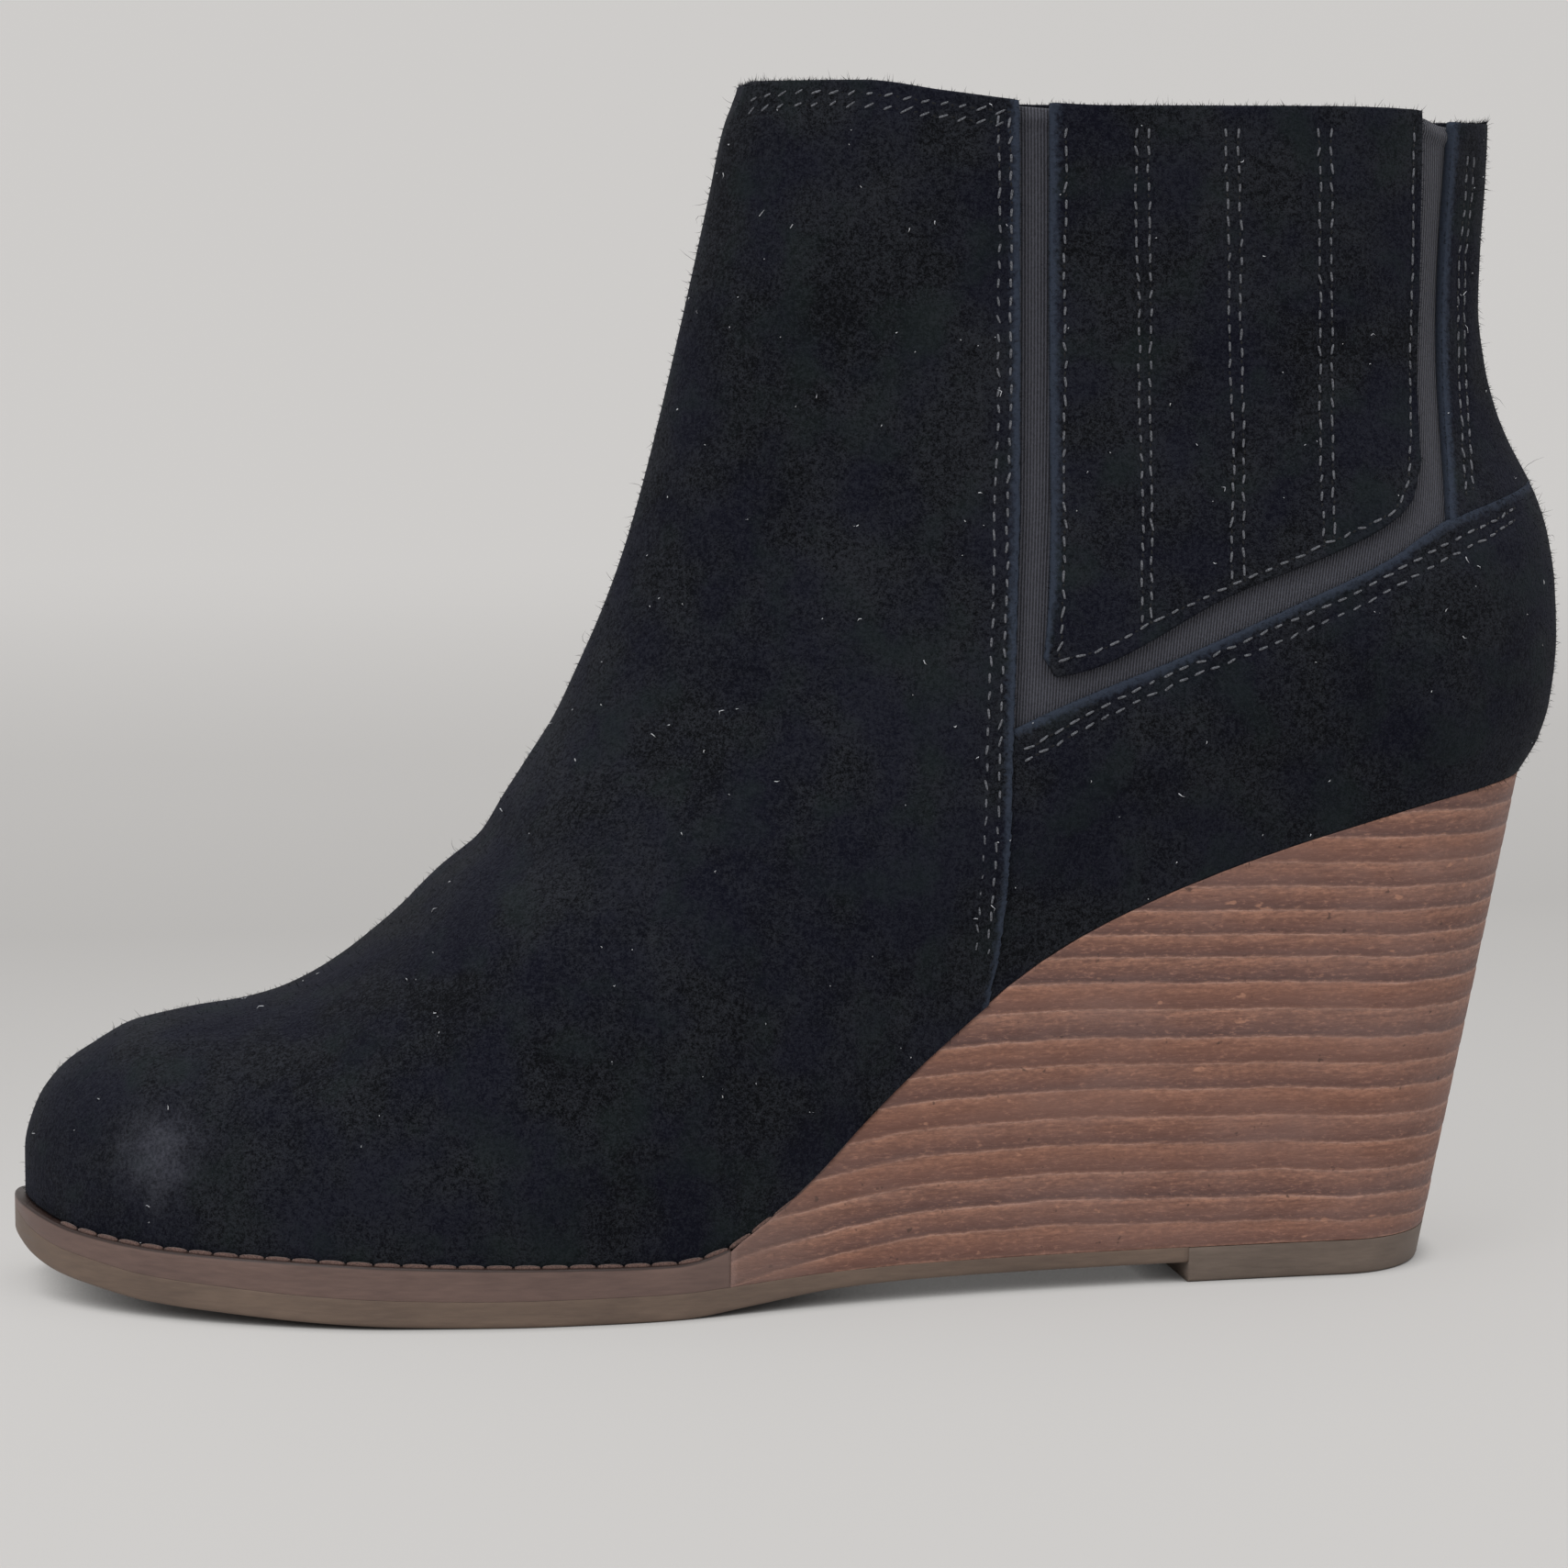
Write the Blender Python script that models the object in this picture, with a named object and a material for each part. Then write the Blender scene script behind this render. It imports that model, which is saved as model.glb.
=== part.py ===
"""Wedge ankle boot, left foot. Metres, +Z up, toe towards -X, outer (lateral) side towards -Y.

The origin is on the floor, at the middle of the heel's tread. Every piece takes its form from one
function, half_width(), which gives the boot's half breadth at a place in the side view.
"""

import bmesh
import bpy
import numpy as np

MM = 0.001

# Overall form
LENGTH = 249.1 * MM          # toe to the back of the heel counter, along the floor
HEEL_CENTRE = 205.8 * MM     # toe to the middle of the heel's tread
HEEL_HEIGHT = 79.5 * MM      # floor to the heel seat, at the back
SHAFT_RISE = 111.5 * MM      # heel seat to the top of the collar
TOE_BOX_HEIGHT = 31.0 * MM   # welt to the top of the toe box
BALL_WIDTH = 83.0 * MM       # upper at the ball, where it meets the welt
SEAT_WIDTH = 61.0 * MM       # upper at the heel seat
COLLAR_WIDTH = 53.0 * MM     # top opening, side to side
TOE_SWING = 8.0 * MM         # how far the toe turns inwards
TOE_SPRING = 5.6 * MM        # how far the toe's tip clears the floor
TOE_ROUND = 56.0 * MM        # length of the toe's round plan
TOE_SWING_FROM = 0.60        # share of LENGTH where the plan starts to turn inwards
SWING_FADE = 0.60            # share of the upper's height where that turn has gone
COUNTER_SWELL = 3.2 * MM     # fullness of the heel over its seat
TOE_SWELL = 0.3              # share of that fullness at the toe
SWELL_FROM, SWELL_FULL = 0.45, 0.75  # shares of LENGTH between which it grows
BACK_HOLLOW = 13.5 * MM      # depth of the curve over the heel
SEAT_TUCK = 0.44             # share of that depth at the heel seat

# Sole
SOLE_FRONT = 8.3 * MM        # outsole and midsole together, at the ball
OUTSOLE_FRONT = 4.3 * MM     # outsole at the ball
OUTSOLE_ARCH = 2.6 * MM      # outsole under the wedge
LIFT_THICKNESS = 5.8 * MM    # rubber tread under the heel
LIFT_LENGTH = 45.2 * MM
LIFT_BACK_BEVEL = 1.0 * MM
TREAD_BEVEL = 0.9 * MM
WELT_LEDGE = 2.2 * MM        # midsole beyond the upper
LEDGE_ENDS = 20.0 * MM       # how far behind the wedge's front the ledge has faded to nothing
LEDGE_FADE = 35.0 * MM       # length over which it fades
WEDGE_LENGTH = 137.0 * MM    # wedge, from its thin front to the heel seat's back
WEDGE_BACK_SLOPE = 0.2055    # how far the back leans in, for each unit of height
WEDGE_SIDE_SLOPE = 0.068
LAYER = 4.4 * MM             # one lift of the stacked wedge
LAYER_SWELL = 0.35 * MM      # how far a lift stands out between its joints

# Upper
LINING = 1.6 * MM            # lining and elastic together
SUEDE = 1.2 * MM
VAMP_STEP = 0.5 * MM         # the vamp's edge over the counter
GAP = 0.3 * MM               # between pieces that meet
INSOLE = 2.4 * MM
INSOLE_EDGE_GAP = 1.1 * MM   # from the insole's edge to the lining
COLLAR_DROP = 6.8 * MM       # the collar's back below its front
GORE_DIP = 1.8 * MM          # elastic's top edge below the suede's

SHAFT_FROM = 0.23            # share of COLLAR_TOP where the foot's sections start to give way
SHAFT_FULL = 0.52            # and where those of the shaft are alone
TOE_POWER = 2.15             # how square the plan's toe is: 2 is an ellipse
FOOT_POWER = 2.25            # the same for a section across the foot
SHAFT_POWER = 2.0            # for the front of the shaft's plan
HEEL_POWER = 2.1             # and for its back

# Fineness
HALF_POINTS = 25             # points along one side of a ring
SOLE_POINTS = HALF_POINTS * 4 // 3
WEDGE_POINTS = HALF_POINTS * 3 // 4
THINNEST_HALF = 0.2 * MM     # a ring's half breadth is no less than this between its ends
FORM_MARGIN = 5.0 * MM       # how far a form runs past its cut

HEEL_X = LENGTH - HEEL_CENTRE
TOE_X = -HEEL_CENTRE
COLLAR_TOP = HEEL_HEIGHT + SHAFT_RISE
SEAT_BACK_X = HEEL_X - SEAT_TUCK * BACK_HOLLOW
WEDGE_FRONT_X = SEAT_BACK_X - WEDGE_LENGTH
LIFT_BACK_X = SEAT_BACK_X - WEDGE_BACK_SLOPE * (HEEL_HEIGHT - LIFT_THICKNESS)
LIFT_FRONT_X = LIFT_BACK_X - LIFT_LENGTH

# Top of the sole in side view. station: share of LENGTH from the toe. spring: share of TOE_SPRING
# added to SOLE_FRONT. climb: share of the climb from SOLE_FRONT to HEEL_HEIGHT.
BED = (
    # station, spring, climb
    (0.000, 1.08, 0.000),
    (0.030, 0.68, 0.000),
    (0.080, 0.46, 0.000),
    (0.160, 0.38, 0.000),
    (0.260, 0.22, 0.000),
    (0.340, 0.14, 0.000),
    (0.390, 0.06, 0.004),
    (0.422, 0.00, 0.030),
    (0.450, 0.00, 0.088),
    (0.482, 0.00, 0.180),
    (0.513, 0.00, 0.290),
    (0.545, 0.00, 0.395),
    (0.577, 0.00, 0.490),
    (0.612, 0.00, 0.590),
    (0.650, 0.00, 0.675),
    (0.700, 0.00, 0.757),
    (0.755, 0.00, 0.830),
    (0.830, 0.00, 0.910),
    (0.900, 0.00, 0.972),
    (0.960, 0.00, 0.998),
    (1.020, 0.00, 1.005),
)

# Underside of the sole, the same stations. spring: share of TOE_SPRING. arch: share of the arch's
# clearance, which is what the heel tread has over the outsole.
TREAD = (
    # station, spring, arch
    (0.000, 1.46, 0.00),
    (0.008, 1.12, 0.00),
    (0.022, 0.84, 0.00),
    (0.041, 0.66, 0.00),
    (0.071, 0.43, 0.00),
    (0.117, 0.29, 0.00),
    (0.178, 0.13, 0.00),
    (0.240, 0.03, 0.00),
    (0.288, 0.00, 0.00),
    (0.392, 0.00, 0.00),
    (0.440, 0.00, 0.35),
    (0.500, 0.00, 0.85),
    (0.560, 0.00, 1.00),
    (1.000, 0.00, 1.00),
)

# Front line in side view, from the toe's foot to the collar. toe: share of TOE_BOX_HEIGHT above
# SOLE_FRONT. rise: share of what is left up to COLLAR_TOP.
FRONT = (
    # station, toe, rise
    (0.0000, 0.18, 0.000),
    (0.0000, 0.42, 0.000),
    (0.0080, 0.66, 0.000),
    (0.0255, 0.85, 0.000),
    (0.0460, 0.96, 0.000),
    (0.0700, 1.00, 0.013),
    (0.0920, 1.00, 0.021),
    (0.1120, 1.00, 0.027),
    (0.1360, 1.00, 0.032),
    (0.1600, 1.00, 0.042),
    (0.1830, 1.00, 0.059),
    (0.2070, 1.00, 0.083),
    (0.2300, 1.00, 0.112),
    (0.2530, 1.00, 0.144),
    (0.2750, 1.00, 0.177),
    (0.3015, 1.00, 0.233),
    (0.3325, 1.00, 0.314),
    (0.3680, 1.00, 0.430),
    (0.3860, 1.00, 0.508),
    (0.4000, 1.00, 0.586),
    (0.4230, 1.00, 0.740),
    (0.4435, 1.00, 0.890),
    (0.4505, 1.00, 0.945),
    (0.4620, 1.00, 1.000),
)

# Back line in side view. rise: share of SHAFT_RISE over the heel seat. inset: share of
# BACK_HOLLOW in from the fullest point of the counter.
BACK = (
    # rise, inset
    (0.000, SEAT_TUCK),
    (0.050, 0.20),
    (0.105, 0.07),
    (0.200, 0.00),
    (0.270, 0.02),
    (0.340, 0.10),
    (0.400, 0.25),
    (0.440, 0.42),
    (0.480, 0.60),
    (0.530, 0.77),
    (0.590, 0.90),
    (0.680, 0.99),
    (0.760, 0.97),
    (0.860, 0.92),
    (0.940, 0.90),
    (1.000, 0.96),
)

# Plan of the upper's foot, as half breadths about the centre line, before the toe and the heel
# are rounded. lateral and medial: shares of BALL_WIDTH at the front, of SEAT_WIDTH at the back.
PLAN_FRONT = (
    # station, lateral, medial
    (0.000, 0.430, 0.315),
    (0.120, 0.490, 0.362),
    (0.220, 0.530, 0.429),
    (0.290, 0.537, 0.461),
    (0.345, 0.524, 0.458),
    (0.460, 0.460, 0.389),
)
PLAN_BACK = (
    # station, lateral, medial
    (0.600, 0.541, 0.467),
    (0.720, 0.513, 0.475),
    (0.850, 0.500, 0.492),
    (1.020, 0.500, 0.500),
)

# How the breadth goes from the foot's to the collar's. height: share from the sole to the
# collar. towards_collar: share of the way. swell: share of COUNTER_SWELL.
SIDE = (
    # height, towards_collar, swell
    (0.00, 0.00, 0.00),
    (0.08, 0.00, 0.55),
    (0.18, 0.04, 1.00),
    (0.30, 0.22, 0.90),
    (0.45, 0.58, 0.45),
    (0.62, 0.90, 0.10),
    (0.80, 1.00, 0.00),
    (1.00, 1.00, 0.00),
)

# Top edge of the collar. along: share of the way from its front to the boot's back.
COLLAR = (
    # along, drop
    (0.00, 0.16),
    (0.03, 0.02),
    (0.12, 0.00),
    (0.21, 0.24),
    (0.32, 0.50),
    (0.40, 0.58),
    (0.66, 0.60),
    (0.79, 0.70),
    (0.83, 0.96),
    (0.88, 1.02),
    (1.00, 1.00),
)

# How far the shaft's round front and back reach into its sides. height: share of COLLAR_TOP.
# front: share of the collar's length, front to back. back: share of SEAT_WIDTH.
ROUNDING = (
    # height, front, back
    (0.00, 0.34, 0.30),
    (0.26, 0.50, 0.42),
    (0.40, 0.64, 0.50),
    (0.56, 0.56, 0.56),
    (0.78, 0.50, 0.66),
    (1.00, 0.50, 0.72),
)

# Seams in side view. along: share of LENGTH from the toe. up: share of COLLAR_TOP.
VAMP_EDGE = (
    # along, up
    (0.620, 1.020),
    (0.620, 0.840),
    (0.619, 0.690),
    (0.614, 0.545),
    (0.610, 0.455),
    (0.607, 0.355),
    (0.602, 0.290),
    (0.595, 0.245),
    (0.584, 0.180),
)
COUNTER_EDGE = (
    # along, up
    (0.590, 0.459),
    (0.646, 0.492),
    (0.718, 0.528),
    (0.791, 0.568),
    (0.855, 0.605),
    (0.900, 0.639),
    (0.935, 0.652),
    (0.990, 0.668),
    (1.030, 0.678),
)
BACK_STAY_EDGE = (
    # along, up
    (0.915, 1.020),
    (0.911, 0.947),
    (0.907, 0.868),
    (0.905, 0.798),
    (0.903, 0.705),
    (0.900, 0.639),
)
GORE_PANEL = (
    # along, up
    (0.641, 1.020),
    (0.641, 0.694),
    (0.638, 0.582),
    (0.633, 0.533),
    (0.639, 0.518),
    (0.653, 0.521),
    (0.754, 0.583),
    (0.830, 0.621),
    (0.856, 0.638),
    (0.874, 0.658),
    (0.881, 0.689),
    (0.882, 0.752),
    (0.885, 0.845),
    (0.885, 1.020),
)

# Ring places up the upper, as shares of the front line's length, close together round the toe
RINGS = (
    *(0.0, 0.022, 0.046, 0.072, 0.1, 0.13, 0.165, 0.21, 0.26),
    *(0.315, 0.375, 0.44, 0.51, 0.6, 0.7, 0.8, 0.9, 1.0),
)


def smooth(table, x, column=1):
    """Reads a table at x by cubic pieces with no overshoot. Outside the table its ends hold."""
    rows = np.array(table, float)
    rows = rows[np.argsort(rows[:, 0], kind="stable")]
    a, b = rows[:, 0], rows[:, column]
    step = np.diff(a)
    slope = np.diff(b) / step
    tangent = np.zeros_like(b)
    same = slope[:-1] * slope[1:] > 0
    w0, w1 = 2 * step[1:] + step[:-1], step[1:] + 2 * step[:-1]
    safe = np.where(same, 1.0, 0.0)
    tangent[1:-1] = safe * (w0 + w1) / (
        w0 / np.where(same, slope[:-1], 1) + w1 / np.where(same, slope[1:], 1)
    )
    tangent[0], tangent[-1] = slope[0], slope[-1]
    x = np.clip(np.asarray(x, float), a[0], a[-1])
    i = np.clip(np.searchsorted(a, x, "right") - 1, 0, len(step) - 1)
    t = (x - a[i]) / step[i]
    return (
        (1 + 2 * t) * (1 - t) ** 2 * b[i]
        + t * (1 - t) ** 2 * step[i] * tangent[i]
        + t * t * (3 - 2 * t) * b[i + 1]
        + t * t * (t - 1) * step[i] * tangent[i + 1]
    )


def ease(t):
    t = np.clip(t, 0, 1)
    return t * t * (3 - 2 * t)


def station(x):
    """Share of LENGTH from the toe."""
    return (np.asarray(x, float) - TOE_X) / LENGTH


def station_x(share):
    return TOE_X + np.asarray(share, float) * LENGTH


def bed_z(x):
    """Top of the sole."""
    s = station(x)
    climb = smooth(BED, s, 2) * (HEEL_HEIGHT - SOLE_FRONT)
    return SOLE_FRONT + smooth(BED, s, 1) * TOE_SPRING + climb


def tread_z(x):
    """Underside of the outsole."""
    s = station(x)
    return smooth(TREAD, s, 1) * TOE_SPRING + smooth(TREAD, s, 2) * (LIFT_THICKNESS - OUTSOLE_ARCH)


def outsole_top_z(x):
    """Top of the outsole, which thins from the ball to the arch."""
    arch = smooth(TREAD, station(x), 2)
    return tread_z(x) + OUTSOLE_FRONT + arch * (OUTSOLE_ARCH - OUTSOLE_FRONT)


def front_line(samples=400):
    """Places (x, z) along the front line, closely spaced, from the toe to the collar."""
    rows = np.array(FRONT, float)
    x = station_x(rows[:, 0])
    above = COLLAR_TOP - SOLE_FRONT - TOE_BOX_HEIGHT
    z = SOLE_FRONT + rows[:, 1] * TOE_BOX_HEIGHT + rows[:, 2] * above
    z[0] = bed_z(x[0])
    run = np.r_[0, np.cumsum(np.hypot(np.diff(x), np.diff(z)))]
    at = np.linspace(0, run[-1], samples)
    return smooth(np.c_[run, x], at), smooth(np.c_[run, z], at)


FRONT_X, FRONT_Z = front_line()


def front_x(z):
    return np.interp(z, FRONT_Z, FRONT_X)


def ridge_z(x):
    """Height of the front line over a place, carried on up past the collar."""
    rising = np.maximum.accumulate(FRONT_X) + np.arange(len(FRONT_X)) * 1e-9
    beyond = np.clip(x - FRONT_X[-1], 0, None)
    return np.interp(x, rising, FRONT_Z) + 4 * beyond


def back_x(z):
    """Back line: the wedge's lean below the heel seat, the counter and the shaft above it."""
    z = np.asarray(z, float)
    below = SEAT_BACK_X - WEDGE_BACK_SLOPE * (HEEL_HEIGHT - z)
    above = HEEL_X - BACK_HOLLOW * smooth(BACK, (z - HEEL_HEIGHT) / SHAFT_RISE)
    return np.where(z < HEEL_HEIGHT, below, above)


def round_off(u, power):
    """1 where u is 0, and falling to 0 as an arc does where u reaches 1."""
    return (1 - np.clip(u, 0, 1) ** power) ** (1 / power)


def plan_half(x, side):
    """Half breadth of the foot before the toe and the heel are rounded. side: 1 lateral, 2 medial."""
    rows = [(r[0], r[side] * BALL_WIDTH) for r in PLAN_FRONT]
    rows += [(r[0], r[side] * SEAT_WIDTH) for r in PLAN_BACK]
    return smooth(rows, station(x))


def half_width(x, z, side):
    """Half breadth of the boot about its centre line, at a place in the side view."""
    bed = bed_z(x)
    share = np.clip((z - bed) / (COLLAR_TOP - bed), 0, 1)
    foot = plan_half(x, side)
    grown = ease((station(x) - SWELL_FROM) / (SWELL_FULL - SWELL_FROM))
    swell = COUNTER_SWELL * smooth(SIDE, share, 2) * (TOE_SWELL + (1 - TOE_SWELL) * grown)
    core = foot + (COLLAR_WIDTH / 2 - foot) * smooth(SIDE, share, 1) + swell
    core = core - WEDGE_SIDE_SLOPE * np.clip(bed - z, 0, None)
    core = core * round_off(1 - (x - TOE_X) / TOE_ROUND, TOE_POWER)
    height = z / COLLAR_TOP
    reach = smooth(ROUNDING, height, 1) * (HEEL_X - front_x(COLLAR_TOP))
    from_front = 1 - (x - front_x(z)) / reach
    up_section = (z - bed) / np.maximum(ridge_z(x) - bed, GAP)
    shaft = ease((height - SHAFT_FROM) / (SHAFT_FULL - SHAFT_FROM))
    front = (1 - shaft) * np.clip(up_section, 0, 1) + shaft * np.clip(from_front, 0, 1)
    core = core * round_off(front, FOOT_POWER + (SHAFT_POWER - FOOT_POWER) * shaft)
    heel_reach = smooth(ROUNDING, height, 2) * SEAT_WIDTH
    return core * round_off(1 - (back_x(z) - x) / heel_reach, HEEL_POWER)


def centre_y(x, z):
    """Centre line in plan: it swings inwards at the toe and is straight up the shaft."""
    bed = bed_z(x)
    up = np.clip((z - bed) / (COLLAR_TOP - bed), 0, 1)
    turned = ease((TOE_SWING_FROM - station(x)) / TOE_SWING_FROM)
    return TOE_SWING * turned * (1 - ease(up / SWING_FADE))


def ring(place):
    """Side view of one ring, back to front: the sole's line at 0, the collar's at 1."""
    turn = np.linspace(0, np.pi, HALF_POINTS)
    t = (1 - np.cos(turn)) / 2
    run = np.r_[0, np.cumsum(np.hypot(np.diff(FRONT_X), np.diff(FRONT_Z)))]
    fx = np.interp(place, run / run[-1], FRONT_X)
    fz = np.interp(place, run / run[-1], FRONT_Z)
    bz = HEEL_HEIGHT + place * SHAFT_RISE
    bx = back_x(bz)
    foot_x = SEAT_BACK_X + (TOE_X - SEAT_BACK_X) * t
    sag = bed_z(foot_x) - (HEEL_HEIGHT + (FRONT_Z[0] - HEEL_HEIGHT) * t)
    return bx + (fx - bx) * t, bz + (fz - bz) * t + (1 - place) ** 1.5 * sag


def around(x, z):
    """The closed ring in space: the lateral side from back to front, then the medial side back."""
    middle = centre_y(x, z)
    lateral = np.c_[x, middle - np.maximum(half_width(x, z, 1), THINNEST_HALF), z]
    medial = np.c_[x, middle + np.maximum(half_width(x, z, 2), THINNEST_HALF), z]
    lateral[[0, -1], 1] = middle[[0, -1]]
    return np.r_[lateral, medial[-2:0:-1]]


def form_rings():
    """All rings of the upper's form, with one below the sole's line and one above the collar."""
    rings = [around(*ring(place)) for place in RINGS]
    down = rings[0] - [0, 0, FORM_MARGIN]
    lean = (rings[-1] - rings[-2]) / np.linalg.norm(rings[-1] - rings[-2], axis=1)[:, None]
    return np.array([down, *rings, rings[-1] + lean * FORM_MARGIN])


def ring_normals(rings):
    """Outward normals of a tube of rings, one for each point."""
    along = np.roll(rings, -1, axis=1) - np.roll(rings, 1, axis=1)
    up = np.gradient(rings, axis=0)
    normal = np.cross(up, along)
    return normal / np.linalg.norm(normal, axis=2)[:, :, None]


FORM = form_rings()
FORM_OUT = ring_normals(FORM)


def new_object(name, points, faces, collection, colour=None, roughness=0.8):
    mesh = bpy.data.meshes.new(name)
    mesh.from_pydata([tuple(p) for p in points], [], faces)
    work = bmesh.new()
    work.from_mesh(mesh)
    bmesh.ops.recalc_face_normals(work, faces=work.faces)
    work.to_mesh(mesh)
    work.free()
    thing = bpy.data.objects.new(name, mesh)
    collection.objects.link(thing)
    if colour:
        material = bpy.data.materials.new(name)
        material.use_nodes = True
        shader = material.node_tree.nodes["Principled BSDF"]
        shader.inputs["Base Color"].default_value = (*colour, 1.0)
        shader.inputs["Roughness"].default_value = roughness
        mesh.materials.append(material)
    return thing


def join_rings(rings, wrap):
    """Triangles between each ring and the next, and from the last to the first if wrap is set.
    Their diagonals are the same in every form, so that the gap between two forms stays even."""
    count = len(rings[0])
    faces = []
    for i in range(len(rings) if wrap else len(rings) - 1):
        here, there = i * count, (i + 1) % len(rings) * count
        forward = not wrap or i < len(rings) // 2
        for j in range(count):
            k = (j + 1) % count
            a, b, c, d = here + j, here + k, there + k, there + j
            if (j < count // 2) == forward:
                faces += [(a, b, c), (a, c, d)]
            else:
                faces += [(a, b, d), (b, c, d)]
    return faces


def shell(name, inner, outer, collection, **look):
    """The upper's form between two offsets from its suede surface, as a tube with a wall."""
    loops = [*(FORM + outer * FORM_OUT), *(FORM + inner * FORM_OUT)[::-1]]
    return new_object(name, np.concatenate(loops), join_rings(loops, True), collection, **look)


def across_caps(count, first):
    """Quads that close a ring straight across, from its lateral side to its medial side."""
    half = count // 2
    faces = []
    for j in range(half):
        a, b = j, j + 1
        c, d = (count - b) % count, (count - a) % count
        corners = dict.fromkeys((first + a, first + b, first + c, first + d))
        faces.append(tuple(corners))
    return faces


def plan_ring(height, x_front, ledge=0.0, inset=0.0, x_back=None, points=SOLE_POINTS):
    """Outline of a sole piece, lateral side from back to front and medial side back. height gives
    z for each x, and ledge is how far the outline stands out from the boot's side."""
    if x_back is None:
        x_back = SEAT_BACK_X
        for _ in range(20):
            x_back = float(back_x(height(x_back)))
    turn = np.linspace(0, np.pi, points)
    x = x_back + (x_front - x_back) * (1 - np.cos(turn)) / 2
    outline = around(x, height(x))
    outward = np.roll(outline, -1, axis=0) - np.roll(outline, 1, axis=0)
    outward = np.c_[outward[:, 1], -outward[:, 0]]
    outward /= np.linalg.norm(outward, axis=1)[:, None]
    if outward[points // 2, 1] > 0:
        outward = -outward
    reach = ledge(outline[:, 0]) if callable(ledge) else ledge
    outline[:, :2] += outward * np.reshape(reach - inset, (-1, 1))
    return outline


def level(z):
    """A height function that gives z everywhere."""
    return lambda x: np.full_like(np.asarray(x, float), z)


def stack(name, loops, collection, **look):
    """A solid through rings of one count, closed straight across at its bottom and top."""
    count = len(loops[0])
    faces = join_rings(loops, False)
    faces += across_caps(count, 0) + across_caps(count, (len(loops) - 1) * count)
    return new_object(name, np.concatenate(loops), faces, collection, **look)


def prism(name, outline, collection, half_depth=0.2):
    """A cutter: a side-view outline, as (x, z) points, drawn out across the boot."""
    count = len(outline)
    points = [(x, y, z) for y in (-half_depth, half_depth) for x, z in outline]
    faces = [tuple(range(count)), tuple(range(count, 2 * count))[::-1]]
    faces += [(j, (j + 1) % count, count + (j + 1) % count, count + j) for j in range(count)]
    cutter = new_object(name, points, faces, collection)
    cutter.hide_render = True
    cutter.display_type = "WIRE"
    return cutter


def combine(thing, other, operation):
    modifier = thing.modifiers.new(other.name, "BOOLEAN")
    modifier.operation = operation
    modifier.solver = "EXACT"
    modifier.object = other
    return thing


def seam(table):
    """A seam's table as side-view places."""
    rows = np.array(table, float)
    return np.c_[station_x(rows[:, 0]), rows[:, 1] * COLLAR_TOP]


def seam_curve(table, samples=9):
    """A seam's table as a smooth run of side-view places."""
    rows = seam(table)
    run = np.r_[0, np.cumsum(np.linalg.norm(np.diff(rows, axis=0), axis=1))]
    at = np.linspace(0, run[-1], samples)
    return np.c_[smooth(np.c_[run, rows[:, 0]], at), smooth(np.c_[run, rows[:, 1]], at)]


def collar_line(x, lower=0.0):
    """Top edge of the upper, which drops a little towards the back."""
    start = front_x(COLLAR_TOP)
    return COLLAR_TOP - COLLAR_DROP * smooth(COLLAR, (x - start) / (HEEL_X - start)) - lower


def sole_edge(x_back, x_front, samples=34):
    """The sole's line in side view, back to front, with the gap that the upper keeps to it."""
    x = np.linspace(x_back, x_front, samples)
    return np.c_[x, bed_z(x) + GAP]


def collar_edge(x_front, x_back, lower=0.0, samples=20):
    x = np.linspace(x_front, x_back, samples)
    return np.c_[x, collar_line(x, lower)]


def build():
    for thing in list(bpy.data.objects):
        bpy.data.objects.remove(thing)
    boot = bpy.data.collections.new("wedge_ankle_boot")
    tools = bpy.data.collections.new("cutters")
    for collection in (boot, tools):
        bpy.context.scene.collection.children.link(collection)
    build_upper(boot, tools)
    build_overlays(boot, tools)
    build_insole(boot)
    build_sole(boot, tools)


def build_upper(boot, tools):
    """Lining and elastic all round, thickened by the vamp's suede in front of the gores."""
    black, front_end, back_end = (0.012, 0.013, 0.018), TOE_X - FORM_MARGIN, HEEL_X + FORM_MARGIN
    surface = -(SUEDE + GAP)
    upper = shell("upper", surface - LINING, surface, boot, colour=black, roughness=0.95)
    whole = np.r_[sole_edge(back_end, front_end), collar_edge(front_end, back_end, GORE_DIP)]
    combine(upper, prism("upper_outline", whole, tools), "INTERSECT")
    vamp = shell("vamp_form", surface - LINING / 2, VAMP_STEP, tools)
    vamp.hide_render = True
    edge = seam_curve(VAMP_EDGE)
    edge = edge[(edge[:, 1] < collar_line(edge[:, 0])) & (edge[:, 1] > bed_z(edge[:, 0]) + GAP)]
    front = sole_edge(edge[-1, 0], front_end)
    front[0, 0] += GAP
    outline = np.r_[edge, front, collar_edge(front_end, edge[0, 0])]
    combine(vamp, prism("vamp_outline", outline, tools), "INTERSECT")
    combine(upper, vamp, "UNION")


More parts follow.
